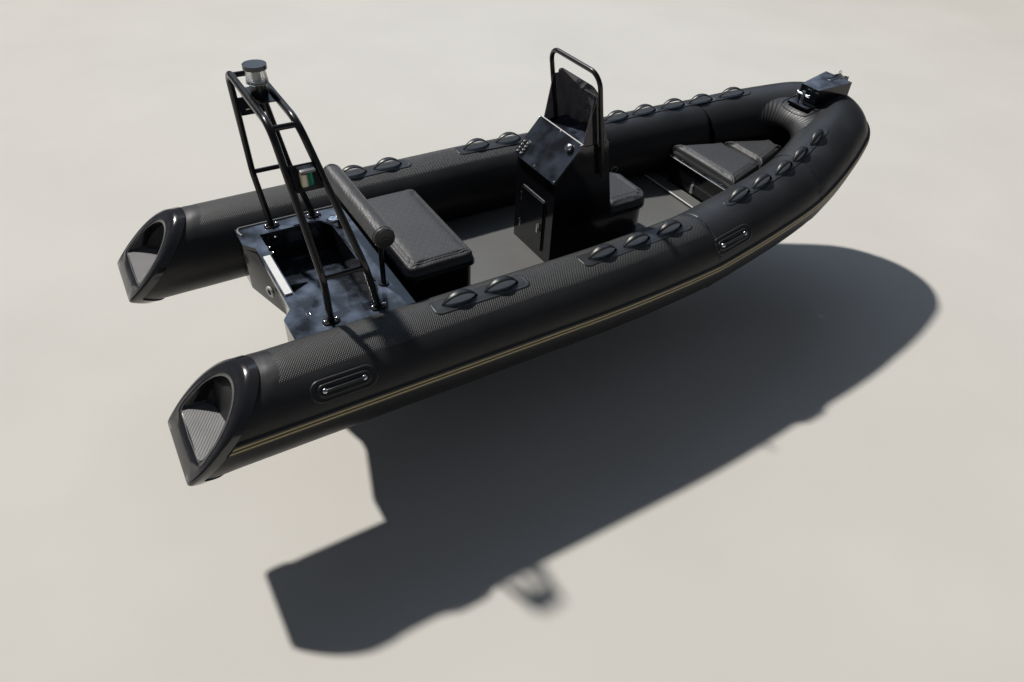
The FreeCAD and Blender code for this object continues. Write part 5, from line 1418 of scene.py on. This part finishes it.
CLEAT_LOW, CLEAT_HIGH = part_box("bow_cleat")
cleat_x = (CLEAT_LOW[0] + CLEAT_HIGH[0]) / 2
cleat_parts = [lathe_mesh([(0, -0.004), (0.0092, -0.003), (0.0098, 0.0), (0.0092, 0.003), (0, 0.004)],
                          (cleat_x, side * (CLEAT_HIGH[1] - 0.005), CLEAT_HIGH[2] - 0.020), (0, side, 0), 24)
               for side in (-1, 1)]
cleat_parts.append(lathe_mesh([(0, 0), (0.0125, 0), (0.0125, 0.0022), (0.0105, 0.0034), (0, 0.0036)],
                              (cleat_x, 0, CLEAT_HIGH[2] - 0.0034), (0, 0, 1), 28))
made("cleat_collars", join_meshes(cleat_parts), steel)
bow_skins = [part_of(bpy.data.objects[name].data) for name in ("chamber_bow", "bow_web")]
bow_tree = BVHTree.FromPolygons(*join_meshes(bow_skins))


def on_bow(station, y, rise):
    hit, normal = look_down(bow_tree, station, y)
    return hit + normal * rise if hit is not None else None


BORDER_AFT, BORDER_FORE, BORDER_HALF = 4.272, 4.60, 0.122
border_corners = ((BORDER_AFT, -BORDER_HALF), (BORDER_FORE, -BORDER_HALF), (BORDER_FORE, BORDER_HALF),
                  (BORDER_AFT, BORDER_HALF))
border = [on_bow(x, y, 0.0012) for x, y in dense_outline(border_corners, 0.04, gap=0.01)]
border = [p for p in border if p is not None]
made("bow_pad_border", tube_mesh(border, 0.0034, 8, True), seam_tape)
print("bow details made", len(border))

# %% [markdown]
# Under water the hull has spray rails, two on each side, that follow its panels from the stern to the bow. The
# cradle is bolted together at its corners.
# %% Hull rails and cradle bolts
HULL_TABLE = (  # station, keel height, chine half width, chine height
    (0.90, 0.300, 0.588, 0.495), (2.90, 0.300, 0.555, 0.500), (3.50, 0.312, 0.480, 0.535),
    (3.86, 0.340, 0.400, 0.580), (4.22, 0.420, 0.256, 0.648))
for side, word in SIDES:
    for number, share in enumerate((0.42, 0.74), 1):
        line = [at(x, side * half * share, keel + (chine - keel) * share - 0.001)
                for x, keel, half, chine in HULL_TABLE]
        made("spray_rail_%s_%d" % (word, number), tube_mesh(dense_line(line, 0.12), 0.0085, 8), gelcoat)
bolts, ways = [], []
for x, way in ((1.220, -1), (3.080, 1)):
    for y in (-0.270, -0.150, 0.150, 0.270):
        bolts.append(at(x, y, 0.042))
        ways.append((way, 0, 0))
repeated("cradle_bolts", "hex", bolts, ways, galvanised, spread=0.5, seed=5)
print("cradle bolts:", len(bolts))

for template in TEMPLATES.values():
    bpy.data.objects.remove(template)


# %% [markdown]
# The scene closes with the studio: a pale floor, a sun from where the light came from, a large bluish area lamp
# for the sky's gloss, a faint plain world, and a camera at the photograph's viewing angle.
# %% Floor, light and camera
PHOTO_WIDTH, FOCAL_PIXELS = 1024, 720.66
CAMERA_RIGHT = Vector((0.859076, -0.510105, 0.042194))
CAMERA_UP = Vector((0.306606, 0.578859, 0.755590))
CAMERA_PLACE = Vector((STERN + 0.11757, -3.06679, 3.02903))

floor_finish = Finish("studio_floor", (0.62, 0.6, 0.56), 0.75, specular=0.2, drift=0.03, drift_scale=0.8)
floor_finish.grain(60.0, 0.001, 0.2)
floor = new_object("studio_floor", [(x, y, 0.0) for x, y in ((-30, -30), (30, -30), (30, 30), (-30, 30))],
                   [(0, 1, 2, 3)])
floor.data.materials.append(floor_finish.material)

key_light = bpy.data.lights.new("key", "SUN")
key_light.energy = 3.9
key_light.angle = math.radians(2.5)
key_light.color = (1.0, 0.965, 0.91)
put("key", key_light).rotation_euler = Vector((0.20, -0.62, -0.755)).to_track_quat("-Z", "Y").to_euler()

world = bpy.data.worlds.new("studio")
bpy.context.scene.world = world
world.use_nodes = True
sky = world.node_tree.nodes["Background"]
sky.inputs["Color"].default_value = (0.74, 0.83, 1.0, 1.0)
sky.inputs["Strength"].default_value = 0.10

soft_light = bpy.data.lights.new("softbox", "AREA")
soft_light.shape, soft_light.size, soft_light.size_y = "RECTANGLE", 9.0, 6.0
soft_light.energy = 130.0
soft_light.color = (0.58, 0.75, 1.0)
soft = put("softbox", soft_light)
soft.location = (3.2, 5.6, 6.4)
soft.rotation_euler = (Vector((0, 0, 0.7)) - soft.location).to_track_quat("-Z", "Y").to_euler()
soft.visible_camera = False

camera_data = bpy.data.cameras.new("camera")
camera_data.sensor_width = 36.0
camera_data.lens = 36.0 * FOCAL_PIXELS / PHOTO_WIDTH
camera_data.dof.use_dof = False
camera = put("camera", camera_data)
look = CAMERA_UP.cross(CAMERA_RIGHT)
axes = Matrix((CAMERA_RIGHT, CAMERA_UP, -look)).transposed().to_4x4()
camera.matrix_world = Matrix.Translation(CAMERA_PLACE) @ axes
bpy.context.scene.camera = camera
bpy.context.scene.view_settings.view_transform = "Standard"

print("pieces made:", len(PIECES))
